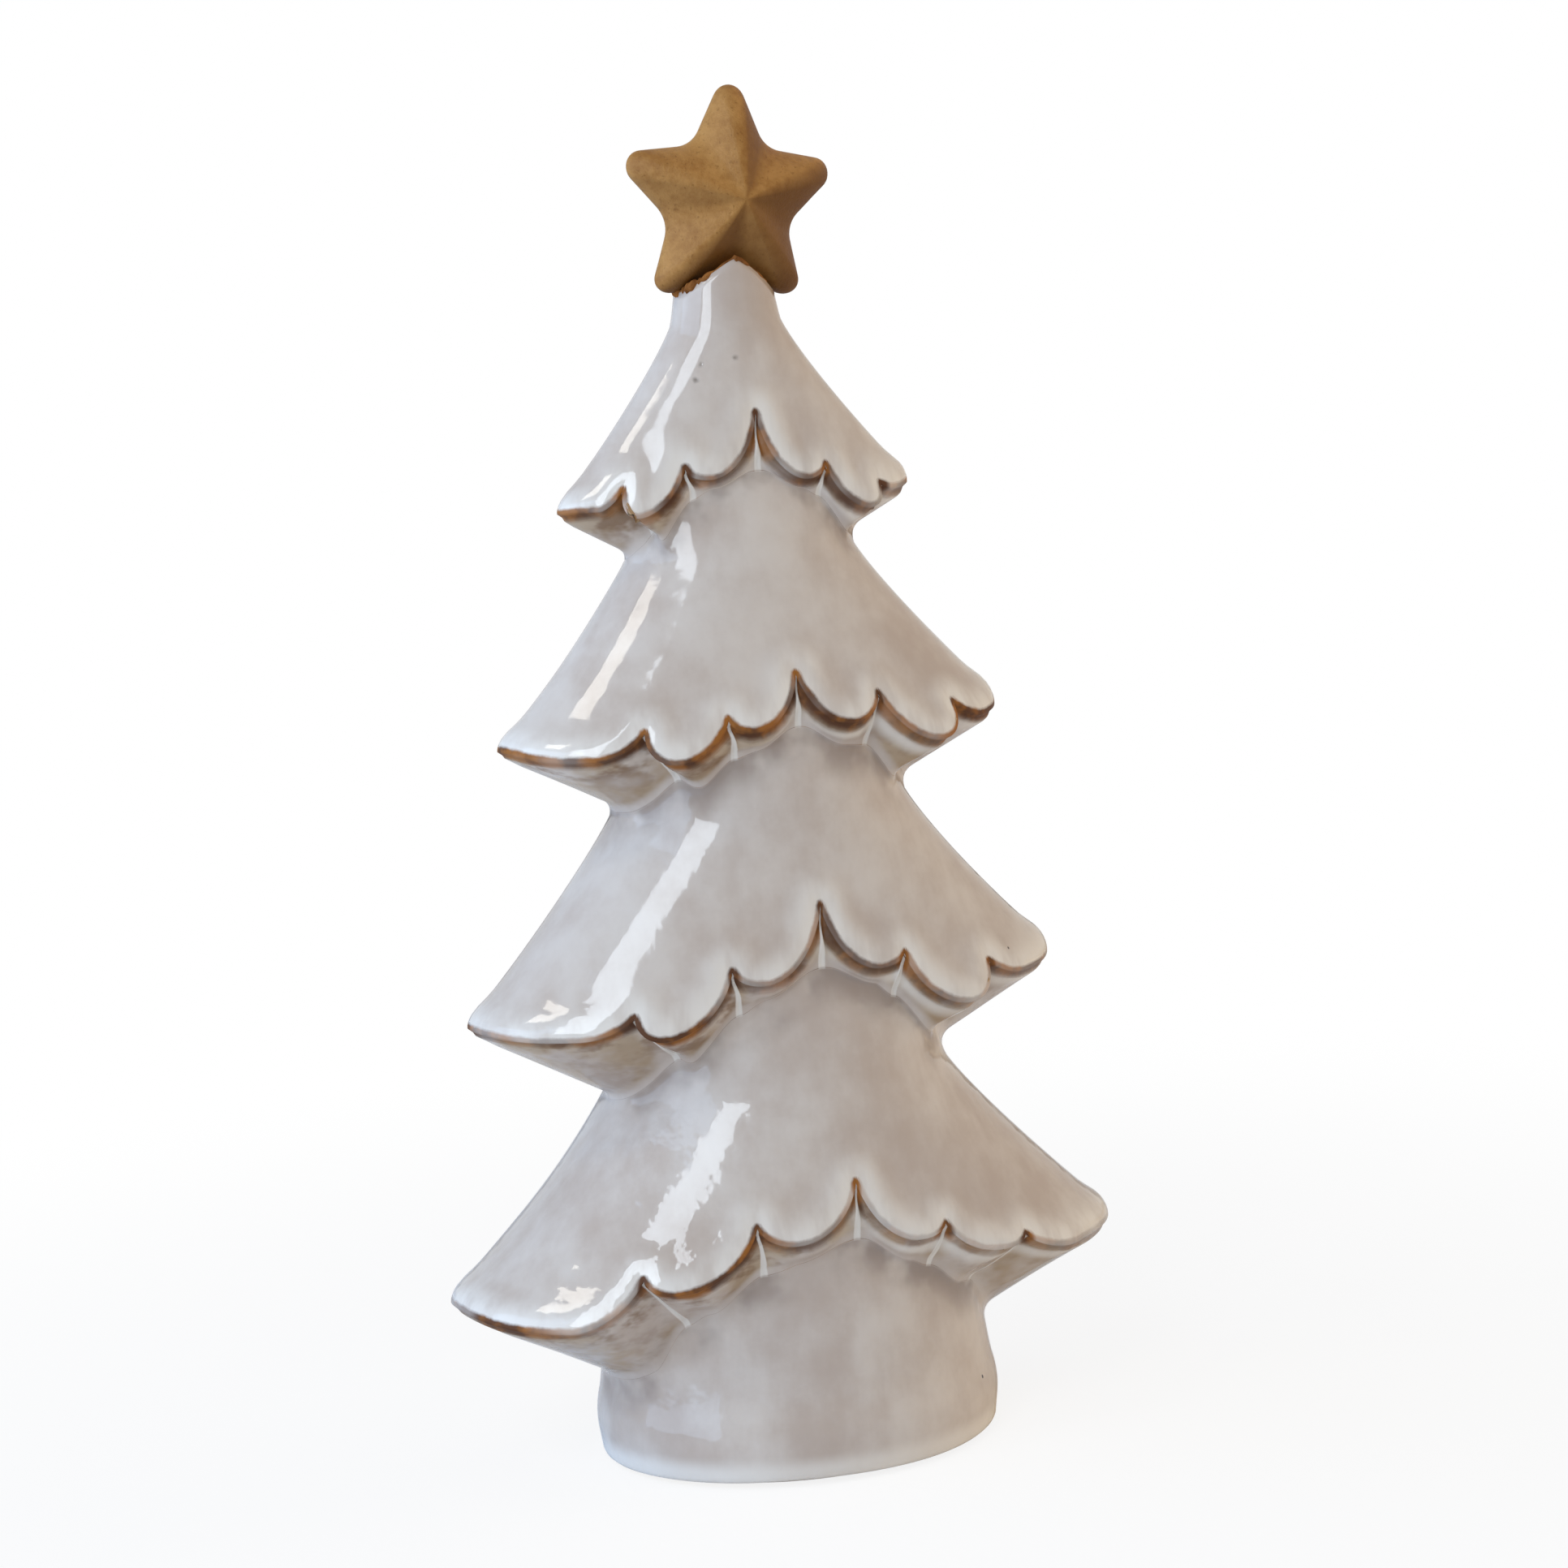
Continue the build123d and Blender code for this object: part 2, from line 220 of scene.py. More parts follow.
def eased(value, knots, levels):
    """Goes from knot to knot in half cosines, so that the curve is level at each knot."""
    place = np.clip(np.searchsorted(knots, value, side="right") - 1, 0, len(knots) - 2)
    share = (value - knots[place]) / (knots[place + 1] - knots[place])
    return levels[place] + (levels[place + 1] - levels[place]) * (0.5 - 0.5 * np.cos(np.pi * share))


def lowest_share(rise_from, rise_to):
    """Where a lobe hangs lowest: nearer to the notch that rises less, in the ratio of square roots."""
    return np.sqrt(rise_from) / (np.sqrt(rise_from) + np.sqrt(rise_to))


def base_rises(turns, rises, lows, tips, ellipse_turn):
    """The hem with its notches almost filled in: columns placed by it can't cross, and creases follow it."""
    knots, levels = [], []
    for lobe in range(LOBES):
        low = lows[lobe]
        beside = (low + lows[lobe - 1]) / 2
        filled = beside + NOTCH_SHARE * (rises[lobe] - beside)
        shares, steps = (0, lowest_share(rises[lobe] - low, rises[lobe + 1] - low)), (filled, low)
        if lobe in TIP_LOBES:
            edge = (1 - TIP_LEVEL) / 2
            shares, steps = (0, edge, 0.5, 1 - edge), (filled, low, tips[TIP_LOBES.index(lobe)], low)
        knots += [turns[lobe] + (turns[lobe + 1] - turns[lobe]) * share for share in shares]
        levels += steps
    return eased(ellipse_turn, np.array(knots + [turns[-1]]), np.array(levels + levels[:1]))


def hem_columns(tier):
    """Turn, height and base height of the hem in each column.

    A lobe falls from each of its notches to its lowest point as a quarter of an ellipse; the steeper side
    is wider. A tip lobe is level from its narrow notch arc, then eases up to the tip.
    """
    turns, rises, lows = hem_table(tier)
    tips = tier.tip_rises[::-1]
    start, stop = turns[column_lobe], turns[column_lobe + 1]
    ellipse_turn = start + (stop - start) * column_share
    low = lows[column_lobe]
    first, last = rises[column_lobe] - low, rises[column_lobe + 1] - low
    split = lowest_share(first, last)
    hanging = low + first * arc(column_share / split) + last * arc((1 - column_share) / (1 - split))
    u = np.abs(2 * column_share - 1)
    tip = np.where(column_lobe == TIP_LOBES[0], *tips)
    eased_in = np.sin(np.pi / 2 * np.minimum(u / TIP_LEVEL, 1)) ** 2
    pointed = tip + (low - tip) * eased_in + first * arc((1 - u) / TIP_NOTCH_WIDTH)
    height = tier.tip_height + np.where(in_tip, pointed, hanging)
    base = tier.tip_height + base_rises(turns, rises, lows, tips, ellipse_turn)
    sideways = tier_half_width(tier, base) * np.sin(ellipse_turn)
    forwards = tier_half_depth(tier, base) * np.cos(ellipse_turn)
    return Hem(np.unwrap(np.arctan2(sideways, forwards)), height, base)


hems = [hem_columns(tier) for tier in TIERS]
lowest_hem = hems[-1].height
print("columns:", COLUMNS, "hem of the lowest tier:", lowest_hem.min(), "to", lowest_hem.max(), "mm")

# %% [markdown]
# ## From hem to crease
# Below its hem a tier turns under and runs back to the form below it, where the two meet in a crease. The
# crease is a calm line: it follows the hem with the notches almost filled in, lowered by slope * gap
# between the two forms. The crease decides the gap and the gap decides the crease, so it is solved by
# repeated guessing, all columns at once.

# %% Creases and the neck's top
UNDERSIDE_SLOPES = ((0, 0.8), (25, 0.75), (50, 0.42), (90, 0.55))
LEAST_DROP = 1.0
GUESSES = 60
ROOF_PEAK = 223.9
ROOF_SLOPE = 0.74
ROOF_ROUND = 1.2
STAR_LEAN = math.radians(4.8)


def crease_columns(index, hem):
    """Height where the underside, falling by slope * gap to the lower form, reaches that form."""
    hem_radius = form_radius(index, hem.turn, hem.base)
    sideways = np.degrees(np.arcsin(np.abs(np.sin(hem.turn))))
    slope = np.interp(sideways, *np.transpose(UNDERSIDE_SLOPES))
    crease = hem.base
    for _ in range(GUESSES):
        gap = hem_radius - form_radius(index + 1, hem.turn, crease)
        crease = (crease + hem.base - slope * gap) / 2
    return np.minimum(crease, hem.height - LEAST_DROP)


def roof_height(sideways):
    """The neck ends in a roof below the star: its peak less slope * softened distance from the middle."""
    return ROOF_PEAK - ROOF_SLOPE * np.hypot(sideways, ROOF_ROUND) - math.tan(STAR_LEAN) * sideways


def neck_columns(turn):
    """Height at which each column of the neck meets the roof, again by repeated guessing."""
    height = np.full_like(turn, ROOF_PEAK)
    for _ in range(GUESSES):
        height = (height + roof_height(form_radius(0, turn, height) * np.sin(turn))) / 2
    return height


creases = [crease_columns(index, hem) for index, hem in enumerate(hems)]
neck_top = neck_columns(hems[0].turn)
for hem, crease in zip(hems, creases):
    print("underside drops", (hem.height - crease).min(), "to", (hem.height - crease).max(), "mm")

# %% [markdown]
# ## The rows of the skin
# Every column is now a chain: flare, hem, underside, crease, next flare. Sharp corners would look cut from
# card, so both corners are bent round with a short quadratic curve. A Bevel modifier could do the same, but
# the curve lets us know exactly how far each point lies from the hem, and the glaze will need that
# distance.

# %% Build the skin's rows
FLARE_ROWS = 24
HEM_ROWS = 9
UNDERSIDE_ROWS = 7
CREASE_ROWS = 7
TRUNK_ROWS = 28
HEM_ROUND = 3.0
HEM_ROUND_LEAN = 0.2
NOTCH_ROUND = 0.25
CREASE_ROUND = 3.0
ROUND_SHARE = 0.42
GLAZE_LINE = 1.0
FOOT_TUCK = 1.6


def bend(start, corner, stop, rows):
    """A quadratic curve: (1 - t) ** 2 * start + 2 t (1 - t) * corner + t ** 2 * stop."""
    t = np.linspace(0, 1, rows + 2)[1:-1, None, None]
    return (1 - t) ** 2 * start + 2 * t * (1 - t) * corner + t**2 * stop


def flare_rows(index, top, bottom, base, rows):
    """Rows down a form between two (turn, height) ends.

    Heights go straight to a calm base line, and what the hem differs from it comes in near the hem, as
    share ** 3. Turns ease out as 1 - (1 - share) ** 2, so columns reach the hem upright and don't fold there.
    """
    share = np.linspace(0, 1, rows)[:, None]
    turn = top[0] + (bottom[0] - top[0]) * (1 - (1 - share) ** 2)
    height = top[1] + (base - top[1]) * share + (bottom[1] - base) * share**3
    return point_at(form_radius(index, turn, height), turn, height)


def rounding(length, wish):
    """How much of a run a rounded corner may use up."""
    return np.minimum(wish, ROUND_SHARE * length)


def skin_rows():
    """All rows from the neck to the foot, with the row numbers of the hems and the creases."""
    blocks, hem_rows, crease_rows = [], [], []
    top = (hems[0].turn, neck_top)
    made = 0
    for index, (hem, crease_height) in enumerate(zip(hems, creases)):
        turn = hem.turn
        corner = point_at(form_radius(index, turn, hem.height), turn, hem.height)
        crease = point_at(form_radius(index + 1, turn, crease_height), turn, crease_height)
        inward = crease - corner
        under_length = np.linalg.norm(inward, axis=-1)
        inward = inward / under_length[:, None]
        in_lobe = np.sin(np.pi / 2 * np.minimum(from_notch, 1)) ** 2
        wish = HEM_ROUND * (1 + HEM_ROUND_LEAN * np.sin(turn)) * (NOTCH_ROUND + (1 - NOTCH_ROUND) * in_lobe)
        hem_cut = rounding(under_length, wish)
        crease_cut = rounding(under_length, CREASE_ROUND)
        flare = flare_rows(index, top, (turn, hem.height + hem_cut), hem.base + hem_cut, FLARE_ROWS)
        under_start = corner + inward * hem_cut[:, None]
        under_stop = crease - inward * crease_cut[:, None]
        top = (turn, crease_height - crease_cut)
        next_start = point_at(form_radius(index + 1, *top), *top)
        hem_bend = bend(flare[-1], corner, under_start, HEM_ROWS)
        t = np.linspace(0, 1, UNDERSIDE_ROWS)[:, None, None]
        underside = under_start + (under_stop - under_start) * t
        crease_bend = bend(under_stop, crease, next_start, CREASE_ROWS)
        blocks += [flare, hem_bend, underside, crease_bend]
        hem_rows.append(made + FLARE_ROWS + HEM_ROWS // 2)
        crease_rows.append(made + FLARE_ROWS + HEM_ROWS + UNDERSIDE_ROWS + CREASE_ROWS // 2)
        made += FLARE_ROWS + HEM_ROWS + UNDERSIDE_ROWS + CREASE_ROWS
    turn = top[0]
    foot = np.full(COLUMNS, FOOT_EDGE[0])
    blocks.append(flare_rows(len(TIERS), top, (turn, foot), foot, TRUNK_ROWS))
    edge = blocks[-1][-1]
    radius = form_radius(len(TIERS), turn, foot)
    corner = point_at(radius, turn, np.full(COLUMNS, GLAZE_LINE))
    tucked = point_at(radius - FOOT_TUCK, turn, np.full(COLUMNS, GLAZE_LINE))
    blocks += [bend(edge, corner, tucked, HEM_ROWS // 2), tucked[None]]
    return np.concatenate(blocks), np.array(hem_rows), np.array(crease_rows)


skin, hem_rows, crease_rows = skin_rows()
print("skin grid:", skin.shape[0], "rows by", skin.shape[1], "columns")

# %% [markdown]
# ## How far from the hem, the crease and the notch
# Glaze runs thin on an edge and pools in a hollow, so its colour depends on distance. The true distance to
# the hem's line is the least over its nearby segments; the ways to the crease and to the notch are measured
# along the grid. They move the surface too: lobes have a rolled edge, a groove runs under the hem with a
# soft bead below it, and a thin fin of glaze stands in each notch. Beside a notch the normals turn sharply,
# so the relief there follows the normal of the notch itself, and the hidden layers below will move straight
# towards the axis.

# %% Distances and fine relief
FAR = 20.0
TINY = 1e-9
NEAR_COLUMNS = 24
ROLL = 0.5
ROLL_MIDDLE = 3.2
ROLL_SPREAD = 2.8
GROOVE = 0.5
GROOVE_MIDDLE = 1.0
GROOVE_SPREAD = 0.8
BEAD = 0.7
BEAD_SHARE = 0.68
BEAD_SPREAD = 0.24
BEAD_LENGTH = 7.0
BEAD_CLEAR = 1.5
FIN = 0.9
FIN_SPREAD = 0.6
FIN_FOOT = 1.6
FIN_START = 0.8
FIN_STOP = 2.5
CALM_SPREAD = 2.5
CALM_REACH = 8.0
HAND_WAVE = 0.36


def bell(distance, spread):
    """A smooth hump: 1 at distance 0, falling off as exp(-(distance / spread) ** 2)."""
    return np.exp(-((distance / spread) ** 2))


def unit(vectors):
    """The same directions with a length of 1."""
    return vectors / np.maximum(np.linalg.norm(vectors, axis=-1, keepdims=True), TINY)


def grid_normals(points):
    """Unit normals of a grid whose columns close: the cross product of its steps down and round."""
    down = np.gradient(points, axis=0)
    around = np.roll(points, -1, axis=1) - np.roll(points, 1, axis=1)
    return unit(np.cross(down, around))


def calm_normals(points, gap):
    """Normals that lean to the nearest notch's own by a bell of the gap, so that neighbours don't cross."""
    normals = grid_normals(points)
    nearest = notch_columns[(column_lobe + (column_share > 0.5)) % LOBES]
    leaning = normals + (normals[:, nearest] - normals) * bell(gap, CALM_SPREAD)[..., None]
    return unit(leaning)


def notch_distance(points):
    """Along each row, the shorter way to either end of the lobe: min(walked, length of the lobe - walked)."""
    step = np.linalg.norm(np.roll(points, -1, axis=1) - points, axis=-1)
    length = np.add.reduceat(step, notch_columns, axis=1)[:, column_lobe]
    walked = np.cumsum(step, axis=1) - step
    walked = walked - walked[:, notch_columns][:, column_lobe]
    return np.minimum(walked, length - walked)


def line_distance(points, line):
    """Distance from each point to the nearest segment of a closed line, among the columns beside it."""
    nearest = np.full(points.shape[:2], FAR)
    for shift in range(-NEAR_COLUMNS, NEAR_COLUMNS + 1):
        start = np.roll(line, shift, axis=0)
        run = np.roll(line, shift - 1, axis=0) - start
        offset = points - start
        share = np.clip((offset * run).sum(-1) / np.maximum((run * run).sum(-1), TINY), 0, 1)
        nearest = np.minimum(nearest, np.linalg.norm(offset - share[..., None] * run, axis=-1))
    return nearest


step_down = np.linalg.norm(np.diff(skin, axis=0, prepend=skin[:1]), axis=-1)
down = np.cumsum(step_down, axis=0)
row_number = np.arange(len(skin))
row_tier = np.searchsorted(crease_rows, row_number)
own_hem = np.append(hem_rows, -1)[row_tier]
crease_distance = np.abs(down[:, None, :] - down[crease_rows][None]).min(1)
notch_gap = notch_distance(skin)
below_hem = (row_number > own_hem) & (row_tier < len(TIERS))
underside = below_hem.astype(float)[:, None] + np.zeros(COLUMNS)
hem_distance = np.full(skin.shape[:2], FAR)
for index in range(len(TIERS)):
    mine = row_tier == index
    hem_distance[mine] = line_distance(skin[mine], skin[hem_rows[index]])

roll = ROLL * bell(hem_distance - ROLL_MIDDLE, ROLL_SPREAD) * (1 - underside)
under_share = hem_distance / (hem_distance + crease_distance + 1e-6)
under_lengths = [*(down[crease_rows] - down[hem_rows]), np.full(COLUMNS, FAR)]
under_length = np.stack(under_lengths)[row_tier]
groove = GROOVE * bell(hem_distance - GROOVE_MIDDLE, GROOVE_SPREAD) * underside
bead = BEAD * bell(under_share - BEAD_SHARE, BEAD_SPREAD) * bell(under_length, BEAD_LENGTH) * underside
bead = bead * (1 - bell(notch_gap, BEAD_CLEAR))
fin_spread = FIN_SPREAD * (1 + FIN_FOOT * under_share)
fin = FIN * bell(notch_gap, fin_spread) * underside
fin = fin * (1 - bell(hem_distance, FIN_START)) * (1 - bell(crease_distance, FIN_STOP))
x, y, z = np.moveaxis(skin, -1, 0)
waves = np.sin(x / 9 + z / 17) + np.sin(y / 7 - z / 13 + 1) + np.sin(x / 15 - y / 11 + z / 8 + 2)
relief = roll - groove + np.maximum(bead, fin) + HAND_WAVE * waves / 3
skin = skin + calm_normals(skin, notch_gap) * relief[..., None]
skin_normals = grid_normals(skin)
radial = unit(skin * [1, 1, 0])
near_notch = (bell(notch_gap, CALM_SPREAD) * bell(hem_distance, CALM_REACH))[..., None]
inwards = -(skin_normals * (1 - near_notch) + radial * near_notch)
print("rolled edge up to", roll.max(), "mm, bead up to", bead.max(), "mm")

# %% [markdown]
# ## Turning grids into meshes
# A grid becomes a mesh when each square of four neighbours is listed as a face. Going down first and then
# round makes the faces point outwards. Where a surface ends in a single point, a fan of triangles closes
# it. The distances travel with the mesh as attributes, which a material can read by name.

# %% Mesh helpers
def grid_faces(rows, columns, closed_rows=False):
    """Quads of a grid that closes round its columns, and down its rows too if asked."""
    row = np.arange(rows if closed_rows else rows - 1)[:, None]
    column = np.arange(columns)[None]
    beside = (column + 1) % columns
    here = row * columns
    below = (row + 1) % rows * columns
    corners = (here + column, below + column, below + beside, here + beside)
    return np.stack(np.broadcast_arrays(*corners), -1).reshape(-1, 4)


def closed_points(grid, first, last):
    """The points of a grid, followed by the two poles that close its ends."""
    return np.concatenate([grid.reshape(-1, 3), [first, last]])


def closed_faces(rows, columns, start=0):
    """Quads of a grid, and two fans of triangles from its first and last row to the poles listed after it."""
    column = start + np.arange(columns)
    beside = start + (np.arange(columns) + 1) % columns
    last = (rows - 1) * columns
    pole = np.full(columns, start + rows * columns)
    first_fan = np.stack([column, beside, pole], -1)
    last_fan = np.stack([beside + last, column + last, pole + 1], -1)
    return [grid_faces(rows, columns) + start, first_fan, last_fan]


def add_object(name, data):
    """Puts a mesh, a lamp or a camera into the scene under a name."""
    made = bpy.data.objects.new(name, data)
    bpy.context.scene.collection.objects.link(made)
    return made


def add_piece(name, points, faces, node, attributes=None):
    """Makes a smooth mesh from millimetre points and attributes, parents it to the root and hides the CAD
    node it replaces.
    """
    mesh = bpy.data.meshes.new(name)
    lists = [face.tolist() for face in faces]
    mesh.from_pydata((points.reshape(-1, 3) * MILLIMETRE).tolist(), [], sum(lists, []))
    for label, values in (attributes or {}).items():
        layer = mesh.attributes.new(label, "FLOAT", "POINT")
        layer.data.foreach_set("value", np.clip(values, -FAR, FAR).astype(np.float32).ravel())
    mesh.shade_smooth()
    mesh.validate()
    piece = add_object(name, mesh)
    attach(piece, "root")
    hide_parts(node)
    triangles = sum(len(polygon.vertices) - 2 for polygon in mesh.polygons)
    print(name, "has", triangles, "triangles")
    return piece


print("a grid of 3 rows and 4 columns that closes round has", len(grid_faces(3, 4)), "faces")

# %% [markdown]
# ## The glaze coat
# The coat is a skin half a millimetre thick that wraps the casting from the neck to just above the foot
# ring. Its outer face is the grid above. Its inner face is the same grid moved inwards, along the normals
# or, near a notch, towards the axis, with fewer rows where the form is plain. Joining the last row to the
# first closes it, so it is a true thin shell.

# %% Make the glaze coat
COAT_THICKNESS = 0.5
PLAIN_ROW_STEP = 4
CORNER_REACH = 4.5

row_has_corner = np.minimum(hem_distance, crease_distance).min(1) < CORNER_REACH
inner_rows = np.flatnonzero((row_number % PLAIN_ROW_STEP == 0) | (row_has_corner & (row_number % 2 == 0)))
inner_rows = np.union1d(inner_rows, [0, len(skin) - 1])[::-1]
coat = np.concatenate([skin, skin[inner_rows] + COAT_THICKNESS * inwards[inner_rows]])


def on_coat(values):
    """Repeats a grid of values on the coat's inner face."""
    return np.concatenate([values, values[inner_rows]])


glaze_coat = add_piece(
    "glaze_coat",
    coat,
    [grid_faces(len(coat), COLUMNS, closed_rows=True)],
    "tree_glaze",
    {
        "hem_mm": on_coat(hem_distance),
        "crease_mm": on_coat(crease_distance),
        "notch_mm": on_coat(notch_gap),
        "underside": on_coat(underside),
    },
)

# %% [markdown]
# ## The clay casting
# Under the glaze is the casting itself. It shows in a narrow strip under the star, and below: a foot ring,
# a shallow recess for the pads and a drain hole into the hollow. Its outside is the glaze's grid moved in a
# little further, and from the foot its rows carry on as plain ellipses: ring, recess, hole, floor and
# hollow, up to a point inside the neck.

# %% Make the clay casting
CASTING_INSET = 0.9
CASTING_STEP = 2
ROOF_ROWS = 4
ROOF_INNER_SHARE = 0.45
RING_FACE = 0.5
RECESS_FACE = 1.5
FLOOR_FACE = 5.5
RING_OUTER = (35.4, 31.9)
RING_INNER = (32.1, 28.6)
RING_SOFT = 0.3
RING_RISE = 0.1
FOOT_SPREAD = 0.5
RECESS_RISE = 0.2
RECESS_SOFT = 0.4
DRAIN = (7.0, 7.0)
DRAIN_SOFT = 0.6
FLOOR_SOFT = 0.4
FLOOR_EDGE = (31.6, 28.1)
SOCKET = (3.8, 3.8)
SOCKET_BOTTOM = 206.1
SOCKET_TOP = 214
HOLLOW = (
    (16.2, 32.5, 28.1), (40.3, 57.4, 24.5), (56, 41.6, 27.7), (71.7, 28.7, 24.1),
    (92.4, 50.3, 17), (107.8, 36, 19.8), (123.3, 24.2, 17.6), (141.9, 41.3, 12.6),
    (156.1, 28.6, 13.9), (170.3, 18.1, 9.8), (184.9, 26.6, 3.3), (201.6, 13.2, 5.4),
)


def ellipse_rows(sections, turn):
    """One row of points per (height, half width, half depth)."""
    heights, widths, depths = np.array(sections, float).T[:, :, None]
    return point_at(ring_radius(widths, depths, turn), turn, heights + 0 * turn)


def section(height, half_sizes, more=0):
    """A height with its half width and half depth, both grown by the same amount."""
    return (height, *(size + more for size in half_sizes))


def casting_rows():
    """Socket, roof, outside, foot ring, recess, drain hole, floor and hollow, as one chain of rows."""
    columns = slice(0, COLUMNS, CASTING_STEP)
    outside = (skin + CASTING_INSET * (1 + near_notch) * inwards)[::CASTING_STEP, columns]
    roof_x, roof_y = outside[0, :, :2].T[:, None] * np.linspace(ROOF_INNER_SHARE, 1, ROOF_ROWS)[:, None]
    roof = np.stack([roof_x, roof_y, roof_height(roof_x) - CASTING_INSET], -1)
    socket_sections = [section(height, SOCKET) for height in (SOCKET_BOTTOM, SOCKET_TOP)]
    socket = ellipse_rows(socket_sections, hems[0].turn[columns])
    below = ellipse_rows(
        [
            section(GLAZE_LINE - RING_RISE, RING_OUTER, FOOT_SPREAD),
            section(RING_FACE + RING_RISE, RING_OUTER),
            section(RING_FACE, RING_OUTER, -RING_SOFT),
            section(RING_FACE, RING_INNER, RING_SOFT),
            section(RING_FACE + RECESS_RISE, RING_INNER),
            section(RECESS_FACE, RING_INNER, -RECESS_SOFT),
            section(RECESS_FACE, DRAIN, DRAIN_SOFT),
            section(RECESS_FACE + DRAIN_SOFT, DRAIN),
            section(FLOOR_FACE - FLOOR_SOFT, DRAIN),
            section(FLOOR_FACE, DRAIN, FLOOR_SOFT),
            section(FLOOR_FACE, FLOOR_EDGE),
            *HOLLOW,
        ],
        hems[-1].turn[columns],
    )
    return np.concatenate([socket, roof, outside, below])


casting_grid = casting_rows()
clay_casting = add_piece(
    "clay_casting",
    closed_points(casting_grid, (0, 0, SOCKET_BOTTOM), (0, 0, HOLLOW[-1][0])),
    closed_faces(*casting_grid.shape[:2]),
    "tree_shell",
)

# %% [markdown]
# ## The star
# The star is one puffy piece of bare clay. Its outline is a five-pointed star whose points and valleys are
# arcs, joined by straight edges. Its thickness is a pillow, which gives the round rim, plus a low pyramid,
# which gives the soft ridges that run out to the points. Both depend only on how far out a point lies, so
# one formula does it.

# %% Make the star
STAR_HEIGHT = 233.6
STAR_SHIFT = 2.2
STAR_NARROW = 0.96
TOP_SQUASH = 0.03
LEG_SQUASH = 0.12
LEG_SPREAD = 0.1
STAR_TIP = 26.0
STAR_VALLEY = 12.6
STAR_TIP_ROUND = 3.0
STAR_VALLEY_ROUND = 6.0
STAR_POINTS = 5
TIP_STEPS = 12
VALLEY_STEPS = 8
STAR_COLUMNS = 240
STAR_ROWS = 30
STAR_PILLOW = 3.9
STAR_PYRAMID = 4.7
PILLOW_POWER = 3.2
RIDGE_SOFTNESS = 0.15
PEG = (3.5, 3.5)
PEG_BOTTOM = 206.6
PEG_TOP = 224.0
PEG_SOFT = 0.5
PEG_COLUMNS = 32


def star_outline(columns):
    """Arcs at the points and in the valleys, joined by straight edges, then stepped evenly along.

    A corner of half angle h takes an arc of radius r whose middle lies r / sin(h) from it. One half of one
    point is worked out as complex numbers, mirrored, and turned to each of the points.
    """
    half = np.pi / STAR_POINTS
    tip_half = np.arctan2(STAR_VALLEY * np.sin(half), STAR_TIP - STAR_VALLEY * np.cos(half))
    valley_half = half + tip_half
    tip_middle = STAR_TIP - STAR_TIP_ROUND / np.sin(tip_half)
    tip_arc = tip_middle + STAR_TIP_ROUND * np.exp(1j * np.linspace(0, np.pi / 2 - tip_half, TIP_STEPS))
    valley_middle = (STAR_VALLEY + STAR_VALLEY_ROUND / np.sin(valley_half)) * np.exp(1j * half)
    swing = np.linspace(np.pi / 2 - valley_half, 0, VALLEY_STEPS)
    valley_arc = valley_middle + STAR_VALLEY_ROUND * np.exp(1j * (np.pi + half + swing))
    side = np.concatenate([tip_arc, valley_arc])
    point = np.concatenate([side.conj()[:0:-1], side[:-1]])
    line = (point * np.exp(2j * half * np.arange(STAR_POINTS))[:, None]).ravel()
    line = np.append(line, line[0])
    walked = np.concatenate([[0], np.cumsum(np.abs(np.diff(line)))])
    even = np.linspace(0, walked[-1], columns, endpoint=False)
    return np.interp(even, walked, line.real) + 1j * np.interp(even, walked, line.imag)


def star_grid():
    """Front pole, rim, back pole: outline * share, thick as pillow * sqrt(1 - share ** power) + pyramid."""
    outline = star_outline(STAR_COLUMNS)
    share = np.sin(np.linspace(0, np.pi / 2, STAR_ROWS + 1)[1:])
    share = np.concatenate([share, share[-2::-1]])[:, None]
    side = np.where(np.arange(len(share)) < STAR_ROWS, 1, -1)[:, None]
    out = (np.hypot(share, RIDGE_SOFTNESS) - RIDGE_SOFTNESS) / (np.hypot(1, RIDGE_SOFTNESS) - RIDGE_SOFTNESS)
    thickness = STAR_PILLOW * np.sqrt(1 - share**PILLOW_POWER) + STAR_PYRAMID * (1 - out)
    leaned = outline * share * np.exp(1j * STAR_LEAN)
    top, legs = np.clip(leaned.real / STAR_TIP, 0, 1), np.clip(-leaned.real / STAR_TIP, 0, 1)
    across = STAR_SHIFT + STAR_NARROW * leaned.imag * (1 + LEG_SPREAD * legs)
    upwards = STAR_HEIGHT + leaned.real * (1 - TOP_SQUASH * top - LEG_SQUASH * legs)
    return np.stack([across, -side * thickness + 0 * upwards, upwards], -1)


star_body = star_grid()
middle_depth = STAR_PILLOW + STAR_PYRAMID
front, back = ((STAR_SHIFT, depth, STAR_HEIGHT) for depth in (-middle_depth, middle_depth))
star_points = closed_points(star_body, front, back)
peg_turn = np.linspace(0, 2 * np.pi, PEG_COLUMNS, endpoint=False)
peg = ellipse_rows([section(height, PEG) for height in (PEG_TOP, PEG_BOTTOM + PEG_SOFT)], peg_turn)
peg_points = closed_points(peg, (0, 0, PEG_TOP), (0, 0, PEG_BOTTOM))
clay_star = add_piece(
    "clay_star",
    np.concatenate([star_points, peg_points]),
    [
        *(faces[:, ::-1] for faces in closed_faces(*star_body.shape[:2])),
        *closed_faces(*peg.shape[:2], start=len(star_points)),
    ],
    "star_topper",
)

# %% [markdown]
# ## The slip line
# The star is stuck on with slip, which is runny clay, and some was squeezed out as a ragged orange-brown
# line along the top of the neck. It is a tube carried along the neck's top row, and its thickness wanders
# as a sum of a few sines, so the line looks pressed by hand and still comes out the same every time.

